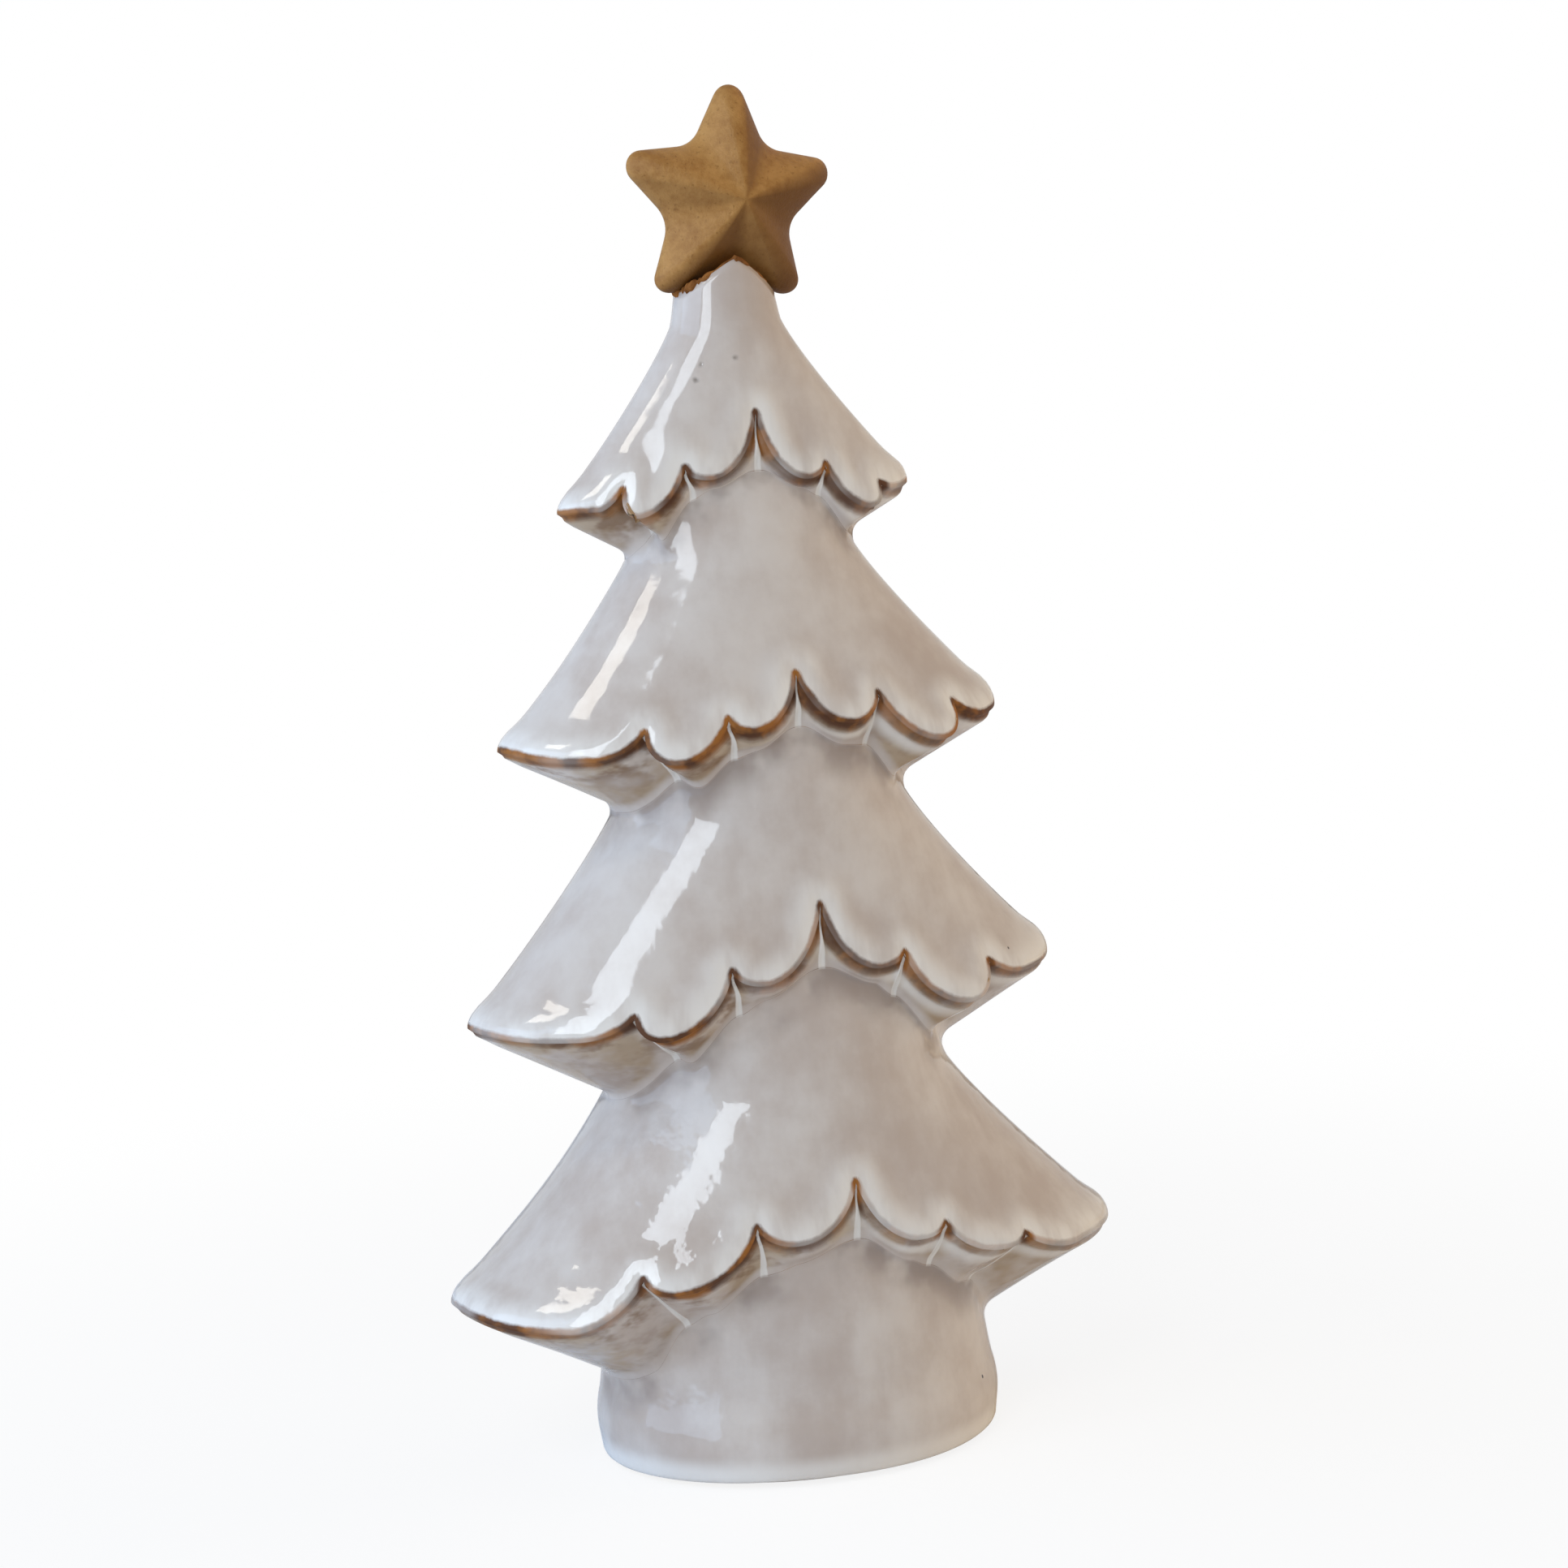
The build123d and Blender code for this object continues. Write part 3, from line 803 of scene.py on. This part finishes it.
# %% Make the slip bead
SLIP_RADIUS = 0.55
SLIP_LEAN = 0.4
SLIP_INSET = 0.5
SLIP_SIDES = 12
SLIP_WAVES = ((0.3, 7, 0), (0.25, 17, 1), (0.2, 41, 2))


def slip_tube(path):
    """Circles of wandering radius about each path point, in the plane of outwards and upwards."""
    count = len(path)
    along = np.arange(count) / count * 2 * np.pi
    wander = sum(size * np.sin(rounds * along + start) for size, rounds, start in SLIP_WAVES)
    radius = SLIP_RADIUS * (1 + wander)
    outward = unit(path * [1, 1, 0])
    radius = radius * (1 - SLIP_LEAN * outward[:, 0])
    sides = np.linspace(0, 2 * np.pi, SLIP_SIDES, endpoint=False)[:, None, None]
    ring = np.cos(sides) * outward + np.sin(sides) * np.array([0, 0, 1.0])
    return path - SLIP_INSET * outward + ring * radius[:, None]


slip_points = slip_tube(skin[0])
slip_bead = add_piece(
    "slip_bead",
    slip_points,
    [grid_faces(SLIP_SIDES, COLUMNS, closed_rows=True)[:, ::-1]],
    "star_slip_joint",
)

# %% [markdown]
# ## The felt pads
# Four felt discs keep the foot from scratching a shelf. Each is a turned profile with soft corners, and its
# rim is made a little uneven, as cut felt is. The CAD model says where each pad sits, so the place is read
# from it.

# %% Make the felt pads
PAD_COLUMNS = 48
PAD_EDGE = ((0.5, 0), (0.9, 0), (0.97, 0.105), (1.0, 0.35))
PAD_RAGGED = 0.02
PAD_RIM = 0.95
fuzz = np.random.default_rng(24)


def felt_pad(node):
    """A profile of (share of radius, height) pairs turned about the pad's own axis, with a ragged rim."""
    low, high = (np.array(corner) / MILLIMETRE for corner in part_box(node))
    middle = (low + high) / 2
    radius = (high[0] - low[0]) / 2
    top, bottom = high[2], low[2]
    upper = [(share, top - drop) for share, drop in PAD_EDGE]
    lower = [(share, bottom + drop) for share, drop in PAD_EDGE[::-1]]
    profile = np.array(upper + lower)
    turn = np.linspace(0, 2 * np.pi, PAD_COLUMNS, endpoint=False)
    ragged = 1 - PAD_RAGGED * fuzz.random((len(profile), PAD_COLUMNS)) * (profile[:, :1] > PAD_RIM)
    reach = profile[:, :1] * radius * ragged
    grid = point_at(reach, turn, profile[:, 1:] + 0 * turn) + middle * [1, 1, 0]
    points = closed_points(grid, (*middle[:2], top), (*middle[:2], bottom))
    return add_piece(node + "_felt", points, closed_faces(len(profile), PAD_COLUMNS), node)


pads = [felt_pad("felt_pad_" + place) for place in ("front_left", "front_right", "rear_left", "rear_right")]
print("pads:", [pad.name for pad in pads])

# %% [markdown]
# ## Small helpers for materials
# A material is a graph of nodes. Adding a node takes several lines in plain Python, so one helper adds a
# node, sets its fields and connects or fills its sockets. The rest are the few steps that every finish here
# needs.

# %% Node helpers
def fill(tree, node, inputs):
    """Links each named or numbered input to a socket, or sets it to a plain value."""
    for name, value in inputs.items():
        if isinstance(value, bpy.types.NodeSocket):
            tree.links.new(value, node.inputs[name])
        else:
            node.inputs[name].default_value = value


def add_node(tree, kind, inputs=None, **fields):
    """Adds one node with its fields and inputs."""
    made = tree.nodes.new(kind)
    for field, value in fields.items():
        setattr(made, field, value)
    fill(tree, made, inputs or {})
    return made


def math_node(tree, operation, first, second):
    """One arithmetic step between two values."""
    return add_node(tree, "ShaderNodeMath", {0: first, 1: second}, operation=operation).outputs[0]


def times(tree, first, second):
    """The product of two values: a mask within a mask, or a weaker one."""
    return math_node(tree, "MULTIPLY", first, second)


def plus(tree, first, second):
    """The sum of two values."""
    return math_node(tree, "ADD", first, second)


def ramp(tree, value, low, high, to_low=0.0, to_high=1.0):
    """A smooth step: to_low below low, to_high above high and an eased change between."""
    inputs = {"Value": value, "From Min": low, "From Max": high, "To Min": to_low, "To Max": to_high}
    return add_node(tree, "ShaderNodeMapRange", inputs, interpolation_type="SMOOTHSTEP").outputs["Result"]


def blend(tree, factor, first, second):
    """Mixes two colours."""
    inputs = {0: factor, 6: first, 7: second}
    return add_node(tree, "ShaderNodeMix", inputs, data_type="RGBA").outputs[2]


def noise(tree, place, scale, detail=3.0, roughness=0.55):
    """A cloud pattern from 0 to 1."""
    inputs = {"Vector": place, "Scale": scale, "Detail": detail, "Roughness": roughness}
    return add_node(tree, "ShaderNodeTexNoise", inputs).outputs["Fac"]


def stretched(tree, place, stretch):
    """The same place with each axis scaled, which draws a pattern out along one way."""
    return add_node(tree, "ShaderNodeMapping", {"Vector": place, "Scale": stretch}).outputs["Vector"]


def bump(tree, strength, distance, height):
    """Normals tilted by a height pattern, for relief too fine to model; the distance is in metres."""
    inputs = {"Strength": strength, "Distance": distance, "Height": height}
    return add_node(tree, "ShaderNodeBump", inputs).outputs["Normal"]


def new_material(name):
    """An empty material with a Principled shader, and the piece's own coordinates."""
    material = bpy.data.materials.new(name)
    material.use_nodes = True
    tree = material.node_tree
    shader = tree.nodes["Principled BSDF"]
    place = add_node(tree, "ShaderNodeTexCoord").outputs["Object"]
    return material, tree, shader, place


def new_group(name, inputs, outputs):
    """An empty node group with named sockets, each given as (label, kind), and what its input node gives."""
    tree = bpy.data.node_groups.new(name, "ShaderNodeTree")
    for way, sockets in (("INPUT", inputs), ("OUTPUT", outputs)):
        for label, kind in sockets:
            tree.interface.new_socket(label, in_out=way, socket_type="NodeSocket" + kind)
    return tree, tree.nodes.new("NodeGroupInput").outputs


def srgb(red, green, blue):
    """A colour as seen on screen, 0 to 255, turned to the linear light that shaders work in."""
    seen = np.array([red, green, blue]) / 255
    linear = np.where(seen <= 0.04045, seen / 12.92, ((seen + 0.055) / 1.055) ** 2.4)
    return (*linear.tolist(), 1.0)


print("white in linear light:", srgb(255, 255, 255))

# %% [markdown]
# ## Fired clay
# The star, the casting and the slip are all bare clay: a matte body with fine grain, a few dark specks and
# cloudy changes of tone. On the star, facets that face right and down are darkened towards the speck colour
# as painted shade, which depends on the normal only. The three differ in colour and coarseness, so the effect
# is one node group with named sockets, and each material gives it its own values.

# %% Clay finishes
# The way the star's painted shade faces: facets turned right and down.
SHADED_SIDE = (0.7, 0.0, -0.7)
CLAY_SHINE = 0.25
CLAY_BUMP = 0.0006


def clay_group():
    """Cloudy tone between two colours, dark specks, painted shade on facets that face one side, and a grain
    height made of two sizes of noise.
    """
    colours = [(label, "Color") for label in ("Dark", "Light", "Speck and shade")]
    numbers = [(label, "Float") for label in ("Grain", "Matte", "Painted shade")]
    results = [("Color", "Color"), ("Roughness", "Float"), ("Height", "Float")]
    tree, given = new_group("fired clay", [("Place", "Vector"), *colours, *numbers], results)
    cloud = noise(tree, given["Place"], 90, 5, 0.6)
    grain = noise(tree, given["Place"], given["Grain"], 4, 0.7)
    tone = plus(tree, times(tree, cloud, 0.65), times(tree, grain, 0.35))
    colour = blend(tree, ramp(tree, tone, 0.36, 0.64), given["Dark"], given["Light"])
    specks = ramp(tree, noise(tree, given["Place"], 1300, 1, 0.5), 0.66, 0.74)
    colour = blend(tree, times(tree, specks, 0.35), colour, given["Speck and shade"])
    # Painted shade: facets whose normal turns towards the shaded side are mixed towards the speck colour.
    normal = add_node(tree, "ShaderNodeNewGeometry").outputs["Normal"]
    facing = add_node(tree, "ShaderNodeVectorMath", {0: normal, 1: SHADED_SIDE}, operation="DOT_PRODUCT")
    painted_shade_mask = times(tree, ramp(tree, facing.outputs["Value"], -0.35, 0.5), given["Painted shade"])
    colour = blend(tree, painted_shade_mask, colour, given["Speck and shade"])
    fine = noise(tree, given["Place"], 2600, 2, 0.6)
    height = plus(tree, times(tree, grain, 0.7), times(tree, fine, 0.3))
    rough = plus(tree, given["Matte"], times(tree, grain, 0.15))
    add_node(tree, "NodeGroupOutput", {"Color": colour, "Roughness": rough, "Height": height})
    return tree


fired_clay = clay_group()


def clay_material(name, dark, light, speck_and_shade, grain, matte, painted_shade, relief):
    """A bare clay finish: the shared group feeds colour, roughness and a small bump."""
    material, tree, shader, place = new_material(name)
    values = {"Place": place, "Dark": dark, "Light": light, "Speck and shade": speck_and_shade}
    values.update({"Grain": grain, "Matte": matte, "Painted shade": painted_shade})
    clay = add_node(tree, "ShaderNodeGroup", values, node_tree=fired_clay).outputs
    normal = bump(tree, relief, CLAY_BUMP, clay["Height"])
    fill(tree, shader, {"Base Color": clay["Color"], "Roughness": clay["Roughness"], "Normal": normal})
    fill(tree, shader, {"Specular IOR Level": CLAY_SHINE})
    return material


# On the star the speck colour is also the painted shade on facets that face right and down.
star_clay = clay_material(
    "bare star clay", srgb(146, 99, 46), srgb(178, 131, 73), srgb(94, 56, 10),
    grain=700, matte=0.42, painted_shade=0.85, relief=0.4,
)
stoneware = clay_material(
    "bare stoneware", srgb(168, 136, 102), srgb(196, 168, 134), srgb(110, 82, 56),
    grain=500, matte=0.77, painted_shade=0.0, relief=0.6,
)
slip_clay = clay_material(
    "fired slip", srgb(104, 60, 22), srgb(162, 104, 46), srgb(64, 36, 14),
    grain=600, matte=0.7, painted_shade=0.0, relief=0.7,
)
clay_star.data.materials.append(star_clay)
clay_casting.data.materials.append(stoneware)
slip_bead.data.materials.append(slip_clay)
print("clay finishes:", star_clay.name, stoneware.name, slip_clay.name)

# %% [markdown]
# ## The reactive glaze
# The glaze is an off-white gloss. It is mottled and runs in soft vertical streaks, breaks to brown where it
# thins on a hem, turns greyer in patches near the creases and stands cream in the notches. Cream on the
# lobes' lips is a painted highlight, and a cream band under the hems is painted light. Each of these is a
# mask made from a distance that the mesh carries, shifted by noise so that no line is ruled.

# %% Ragged line group
def line_group():
    """A soft-edged line: 1 where the distance, pushed by noise, is under a half width, and 0 past a fade."""
    labels = ("Distance", "Wander", "Push", "Half width", "Fade")
    tree, given = new_group("ragged line", [(label, "Float") for label in labels], [("Mask", "Float")])
    centred = math_node(tree, "SUBTRACT", given["Wander"], 0.5)
    moved = plus(tree, given["Distance"], times(tree, centred, given["Push"]))
    size = math_node(tree, "ABSOLUTE", moved, 0.0)
    outer = plus(tree, given["Half width"], given["Fade"])
    add_node(tree, "NodeGroupOutput", {"Mask": ramp(tree, size, given["Half width"], outer, 1.0, 0.0)})
    return tree


ragged_line = line_group()
print("ragged line nodes:", len(ragged_line.nodes))

# %% [markdown]
# ## What the glaze's layers share
# Several layers need the same distances and noises, so these are made once and handed on as one record.
# Reading one noise twice also ties layers together: a streak that is pale in the body is also stronger in the
# painted highlight on the lip.

# %% Glaze colours and patterns
GLAZE_TAUPE = srgb(186, 170, 158)
GLAZE_PALE = srgb(209, 199, 190)
# Cream of the thick glaze in the notches and along the foot, also used as painted highlight on the lips and
# painted light under the hems.
GLAZE_CREAM_AND_PAINTED_LIGHT = srgb(230, 224, 216)
GLAZE_CREASE_GREY = srgb(144, 128, 118)
UNDER_TAN = srgb(176, 154, 128)
UNDER_BROWN = srgb(122, 88, 54)
BREAK_DARK = srgb(80, 42, 5)
BREAK_TAN = srgb(148, 90, 24)
PINHOLE = srgb(62, 48, 38)
PINHOLES = ((-10.1, -8.0, 201.7), (-8.7, -7.8, 204.4), (-2.6, -9.2, 205.2), (-37.3, 1.6, 17.1))
FIN_LINE = {"Push": 0.3, "Half width": 0.5, "Fade": 0.35}

Patterns = namedtuple("Patterns", "place hem crease notch under height left cloud streak fleck patch")


def glaze_patterns(tree, place):
    """What the layers share: the mesh's distances, the height, how far left a point is, and four noises."""
    hem, crease, notch, under = (
        add_node(tree, "ShaderNodeAttribute", attribute_name=label).outputs["Fac"]
        for label in ("hem_mm", "crease_mm", "notch_mm", "underside")
    )
    sideways, _, height = add_node(tree, "ShaderNodeSeparateXYZ", {0: place}).outputs
    left = ramp(tree, sideways, -0.012, 0.014, 1.0, 0.0)
    cloud = noise(tree, place, 30, 3, 0.5)
    streak = noise(tree, stretched(tree, place, (1, 1, 0.25)), 200, 3, 0.55)
    fleck = noise(tree, place, 420, 3, 0.6)
    patch = noise(tree, place, 75, 3, 0.55)
    return Patterns(place, hem, crease, notch, under, height, left, cloud, streak, fleck, patch)


print("patterns:", Patterns._fields)

# %% [markdown]
# ## The glaze's layers
# Each layer is a short function that returns a colour or a mask. They are laid on from thick glaze to thin:
# body, underside, brown break, fins and pinholes. The break also dulls the gloss, and a soft ripple bends
# the highlights.

# %% Glaze layers
def glaze_body(tree, at):
    """Mottled off-white, greyer in patches near the creases, a painted highlight in cream on the lips, and
    cream along the foot.
    """
    mottle = noise(tree, at.place, 105, 4, 0.6)
    fine_tone = plus(tree, times(tree, mottle, 0.3), times(tree, at.streak, 0.15))
    tone = plus(tree, times(tree, at.cloud, 0.55), fine_tone)
    colour = blend(tree, ramp(tree, tone, 0.37, 0.63), GLAZE_TAUPE, GLAZE_PALE)
    flare = math_node(tree, "SUBTRACT", 1.0, at.under)
    # Greyer in patches within 9 mm of each crease, on the flares only.
    patchy = ramp(tree, at.patch, 0.43, 0.63, 0.0, 0.75)
    crease_grey = times(tree, ramp(tree, at.crease, 1.2, 9.0, 1.0, 0.0), patchy)
    colour = blend(tree, times(tree, crease_grey, flare), colour, GLAZE_CREASE_GREY)
    # Painted highlight: cream on the flare up to 7 mm above the hem, where the rolled lobes catch the light.
    painted_lip_highlight = times(tree, ramp(tree, at.hem, 1.0, 7.0, 1.0, 0.0), ramp(tree, at.streak, 0.3, 0.6, 0.45, 0.95))
    colour = blend(tree, times(tree, painted_lip_highlight, flare), colour, GLAZE_CREAM_AND_PAINTED_LIGHT)
    return blend(tree, ramp(tree, at.height, 0.003, 0.0065, 0.7, 0.0), colour, GLAZE_CREAM_AND_PAINTED_LIGHT)


def glaze_underside(tree, at, colour):
    """Tan patches and brown smears under the hems, with a band of painted light in cream beside the edge,
    strongest on the right.
    """
    smear = noise(tree, stretched(tree, at.place, (1, 1, 1.8)), 120, 3, 0.6)
    faint = times(tree, ramp(tree, smear, 0.44, 0.64, 0.0, 0.9), ramp(tree, at.left, 0.0, 1.0, 0.5, 1.0))
    faint = times(tree, faint, ramp(tree, at.hem, 3.0, 9.0, 1.0, 0.3))
    below = blend(tree, ramp(tree, at.patch, 0.4, 0.6), colour, UNDER_TAN)
    below = blend(tree, faint, below, UNDER_BROWN)
    # Painted light: cream on the underside from 1.6 to 5.5 mm past the hem, where the overhang lies in shade,
    # mostly on the right.
    painted_underside_light = times(tree, ramp(tree, at.hem, 1.6, 2.4), ramp(tree, at.hem, 3.0, 5.5, 0.7, 0.0))
    painted_underside_light = times(tree, painted_underside_light, ramp(tree, at.left, 0.0, 1.0, 1.0, 0.1))
    below = blend(tree, painted_underside_light, below, GLAZE_CREAM_AND_PAINTED_LIGHT)
    return blend(tree, times(tree, at.under, ramp(tree, at.crease, 0.5, 2.5)), colour, below)


def glaze_break(tree, at):
    """A mask of the hem's edge, ragged by noise: strong at the notches, patchy between them."""
    signed = times(tree, at.hem, ramp(tree, at.under, 0.0, 1.0, -1.0, 1.0))
    ragged = plus(tree, signed, times(tree, math_node(tree, "SUBTRACT", at.fleck, 0.5), 0.7))
    edge = times(tree, ramp(tree, ragged, -1.3, -0.6), ramp(tree, ragged, 1.0, 2.8, 1.0, 0.0))
    right_run = ramp(tree, at.height, 0.05, 0.12, 0.5, 1.0)
    run = ramp(tree, noise(tree, at.place, 48, 2, 0.5), 0.36, 0.56, 0.55, 1.0)
    along = times(tree, math_node(tree, "MAXIMUM", at.left, right_run), run)
    thin = math_node(tree, "MAXIMUM", ramp(tree, at.notch, 1.4, 4.5, 1.0, 0.0), along)
    return times(tree, edge, thin)


def glaze_fins(tree, at):
    """A mask of the glaze that stands in the notches, as a ragged line on the undersides."""
    inputs = {"Distance": at.notch, "Wander": at.fleck, **FIN_LINE}
    line = add_node(tree, "ShaderNodeGroup", inputs, node_tree=ragged_line).outputs["Mask"]
    return times(tree, times(tree, line, at.under), 0.9)


def glaze_pinholes(tree, at):
    """A mask of burst bubbles: the middles of a few random cells, and larger ones at chosen places."""
    cells = add_node(tree, "ShaderNodeTexVoronoi", {"Vector": at.place, "Scale": 70.0}).outputs
    lot = add_node(tree, "ShaderNodeSeparateColor", {0: cells["Color"]}).outputs[0]
    holes = times(tree, ramp(tree, cells["Distance"], 0.02, 0.035, 1.0, 0.0), ramp(tree, lot, 0.86, 0.87))
    wander = times(tree, at.fleck, 0.0016)
    for spot in PINHOLES:
        middle = [size * MILLIMETRE for size in spot]
        away = add_node(tree, "ShaderNodeVectorMath", {0: at.place, 1: middle}, operation="DISTANCE")
        gap = plus(tree, away.outputs["Value"], wander)
        holes = math_node(tree, "MAXIMUM", holes, ramp(tree, gap, 0.0007, 0.0017, 0.6, 0.0))
    return holes


def glaze_material():
    """Layers of colour from thick glaze to thin, a gloss that dulls where it breaks, and a soft ripple."""
    material, tree, shader, place = new_material("reactive glaze")
    at = glaze_patterns(tree, place)
    broken, holes = glaze_break(tree, at), glaze_pinholes(tree, at)
    brown = blend(tree, ramp(tree, noise(tree, place, 160, 3), 0.42, 0.62), BREAK_DARK, BREAK_TAN)
    colour = glaze_underside(tree, at, glaze_body(tree, at))
    for mask, layer in ((broken, brown), (glaze_fins(tree, at), GLAZE_CREAM_AND_PAINTED_LIGHT), (holes, PINHOLE)):
        colour = blend(tree, mask, colour, layer)
    rough = plus(tree, ramp(tree, at.cloud, 0.3, 0.7, 0.05, 0.09), times(tree, broken, 0.6))
    ripple = times(tree, noise(tree, place, 240, 2, 0.5), ramp(tree, at.height, 0.06, 0.15, 0.65, 0.2))
    height = plus(tree, times(tree, noise(tree, place, 90, 2, 0.5), 0.9), ripple)
    height = math_node(tree, "SUBTRACT", height, times(tree, holes, 0.5))
    normal = bump(tree, 0.18, 0.0012, height)
    fill(tree, shader, {"Base Color": colour, "Roughness": rough, "Normal": normal})
    return material


glaze = glaze_material()
glaze_coat.data.materials.append(glaze)
print("glaze nodes:", len(glaze.node_tree.nodes))

# %% [markdown]
# ## Felt
# Pressed felt is matte and fibrous. Noise that is stretched two ways gives crossing fibres, and some sheen
# gives the soft bright edge of fuzz.

# %% Felt material
FELT_DARK = srgb(74, 68, 62)
FELT_LIGHT = srgb(120, 112, 104)


def felt_material():
    """Two crossing fibre patterns, the brighter of which wins, over a dark warm grey."""
    material, tree, shader, place = new_material("pressed felt")
    one = noise(tree, stretched(tree, place, (1, 0.2, 1)), 1800, 2, 0.6)
    other = noise(tree, stretched(tree, place, (0.2, 1, 1)), 1800, 2, 0.6)
    fibre = math_node(tree, "MAXIMUM", one, other)
    colour = blend(tree, ramp(tree, fibre, 0.45, 0.7), FELT_DARK, FELT_LIGHT)
    normal = bump(tree, 0.6, 0.0004, fibre)
    fill(tree, shader, {"Base Color": colour, "Roughness": 0.95, "Sheen Weight": 0.4, "Normal": normal})
    return material


felt = felt_material()
for pad in pads:
    pad.data.materials.append(felt)
print("felt on", len(pads), "pads")

# %% [markdown]
# ## The floor
# The tree stands on plain white. A matte floor takes its shadow, and what the camera sees of the floor is
# mixed with plain white, more of it further out, so that it melts into the background.

# %% Floor
FLOOR_HALF = 3.0
FLOOR_COLOUR = (0.97, 0.97, 0.97, 1)
WHITE = (1, 1, 1, 1)


def floor_material():
    """A matte floor that takes the shadow, mixed with plain white for the camera, fully so from 0.4 m out."""
    material, tree, shader, place = new_material("pale floor")
    fill(tree, shader, {"Base Color": FLOOR_COLOUR, "Roughness": 0.9, "Specular IOR Level": 0.0})
    glow = add_node(tree, "ShaderNodeEmission", {"Color": WHITE, "Strength": 1.0})
    seen = add_node(tree, "ShaderNodeLightPath").outputs["Is Camera Ray"]
    from_middle = add_node(tree, "ShaderNodeVectorMath", {0: place}, operation="LENGTH").outputs["Value"]
    share = times(tree, seen, ramp(tree, from_middle, 0.1, 0.4, 0.86, 1.0))
    mixed = add_node(tree, "ShaderNodeMixShader", {0: share, 1: shader.outputs[0], 2: glow.outputs[0]})
    fill(tree, tree.nodes["Material Output"], {"Surface": mixed.outputs[0]})
    return material


floor_mesh = bpy.data.meshes.new("floor")
corners = [(FLOOR_HALF * x, FLOOR_HALF * y, 0) for x, y in ((-1, -1), (1, -1), (1, 1), (-1, 1))]
floor_mesh.from_pydata(corners, [], [(0, 1, 2, 3)])
floor = add_object("floor", floor_mesh)
floor.data.materials.append(floor_material())
print("floor is", 2 * FLOOR_HALF, "m square")

# %% [markdown]
# ## The light
# The photograph is lit cool from the left and warm from the right. Big soft panels give the cool and the
# warm side, and most of them stay out of the reflections, where their edges would show. The two windows,
# smaller and brighter, and one faint cool panel are mirrored in the glaze and draw its highlights.

# %% World and lamps
ROOM_LIGHT = 0.15
ROOM_COLOUR = (1.0, 0.95, 0.88, 1)
GLOSSY_SHARE = 0.7
LIGHT_AIM = Vector((0, 0, 0.12))

world = bpy.data.worlds.new("studio")
bpy.context.scene.world = world
world.use_nodes = True
tree = world.node_tree
room = tree.nodes["Background"]
fill(tree, room, {"Color": ROOM_COLOUR, "Strength": ROOM_LIGHT})
white = add_node(tree, "ShaderNodeBackground", {"Color": WHITE, "Strength": 1.0})
ray = add_node(tree, "ShaderNodeLightPath").outputs
mirrored = times(tree, ray["Is Glossy Ray"], GLOSSY_SHARE)
seen = math_node(tree, "MAXIMUM", ray["Is Camera Ray"], mirrored)
mixed = add_node(tree, "ShaderNodeMixShader", {0: seen, 1: room.outputs[0], 2: white.outputs[0]})
fill(tree, tree.nodes["World Output"], {"Surface": mixed.outputs[0]})


def direction(turn, rise):
    """A unit vector from degrees: turn goes round the axis from the front, -Y, and rise up from level."""
    turn, rise = math.radians(turn), math.radians(rise)
    return Vector((math.sin(turn) * math.cos(rise), -math.cos(turn) * math.cos(rise), math.sin(rise)))


def softbox(name, turn, rise, distance, size, radiance, colour):
    """A flat lamp that faces the tree; its power is radiance * pi * area."""
    lamp = bpy.data.lights.new(name, "AREA")
    lamp.shape = "RECTANGLE"
    lamp.size, lamp.size_y = size
    lamp.energy = radiance * math.pi * size[0] * size[1]
    lamp.color = colour
    holder = add_object(name, lamp)
    towards = direction(turn, rise)
    holder.location = LIGHT_AIM + towards * distance
    holder.rotation_mode = "QUATERNION"
    holder.rotation_quaternion = towards.to_track_quat("Z", "Y")
    return holder


softbox("window", -43, 32, 1.3, (0.42, 0.58), 7.4, (0.82, 0.91, 1.0))
softbox("far window", -80, 53, 1.3, (0.34, 0.15), 8.0, (1.0, 0.95, 0.85))
softbox("cool side", -85, 15, 1.4, (1.4, 1.4), 2.2, (0.5, 0.7, 1.0))
for panel in (
    softbox("sky", -125, 10, 1.4, (1.0, 1.4), 2.4, (0.4, 0.62, 1.0)),
    softbox("warm side", 80, 0, 1.4, (1.2, 1.2), 3.9, (1.0, 0.78, 0.52)),
    softbox("overhead", 0, 75, 1.4, (1.2, 1.2), 0.7, (1.0, 0.9, 0.78)),
):
    panel.visible_glossy = False
print("lamps:", [item.name for item in bpy.data.lights])

# %% [markdown]
# ## The camera
# The camera was worked out from the object's own outline, so the tree fills the picture as it does in the
# photograph. It looks back along one direction and is rolled a little, and its focal length in pixels gives
# the lens.

# %% Camera
IMAGE_PIXELS = 1932
FOCAL_PIXELS = 4872.6
SENSOR_WIDTH = 36.0
CAMERA_TURN = -24.08
CAMERA_RISE = 7.22
CAMERA_ROLL = math.radians(-3.9)
CAMERA_DISTANCE = 0.74377
CAMERA_AIM = Vector((0.00556, 0, 0.12482))

backwards = direction(CAMERA_TURN, CAMERA_RISE)
level_right = (-backwards).cross(Vector((0, 0, 1))).normalized()
level_up = level_right.cross(-backwards)
right = level_right * math.cos(CAMERA_ROLL) + level_up * math.sin(CAMERA_ROLL)
upward = level_up * math.cos(CAMERA_ROLL) - level_right * math.sin(CAMERA_ROLL)
lens = bpy.data.cameras.new("camera")
lens.sensor_width = SENSOR_WIDTH
lens.lens = FOCAL_PIXELS / IMAGE_PIXELS * SENSOR_WIDTH
camera = add_object("camera", lens)
turned = Matrix((right, upward, backwards)).transposed().to_4x4()
camera.matrix_world = Matrix.Translation(CAMERA_AIM + backwards * CAMERA_DISTANCE) @ turned
bpy.context.scene.camera = camera
bpy.context.scene.view_settings.view_transform = "Standard"
print("camera lens in mm:", lens.lens)
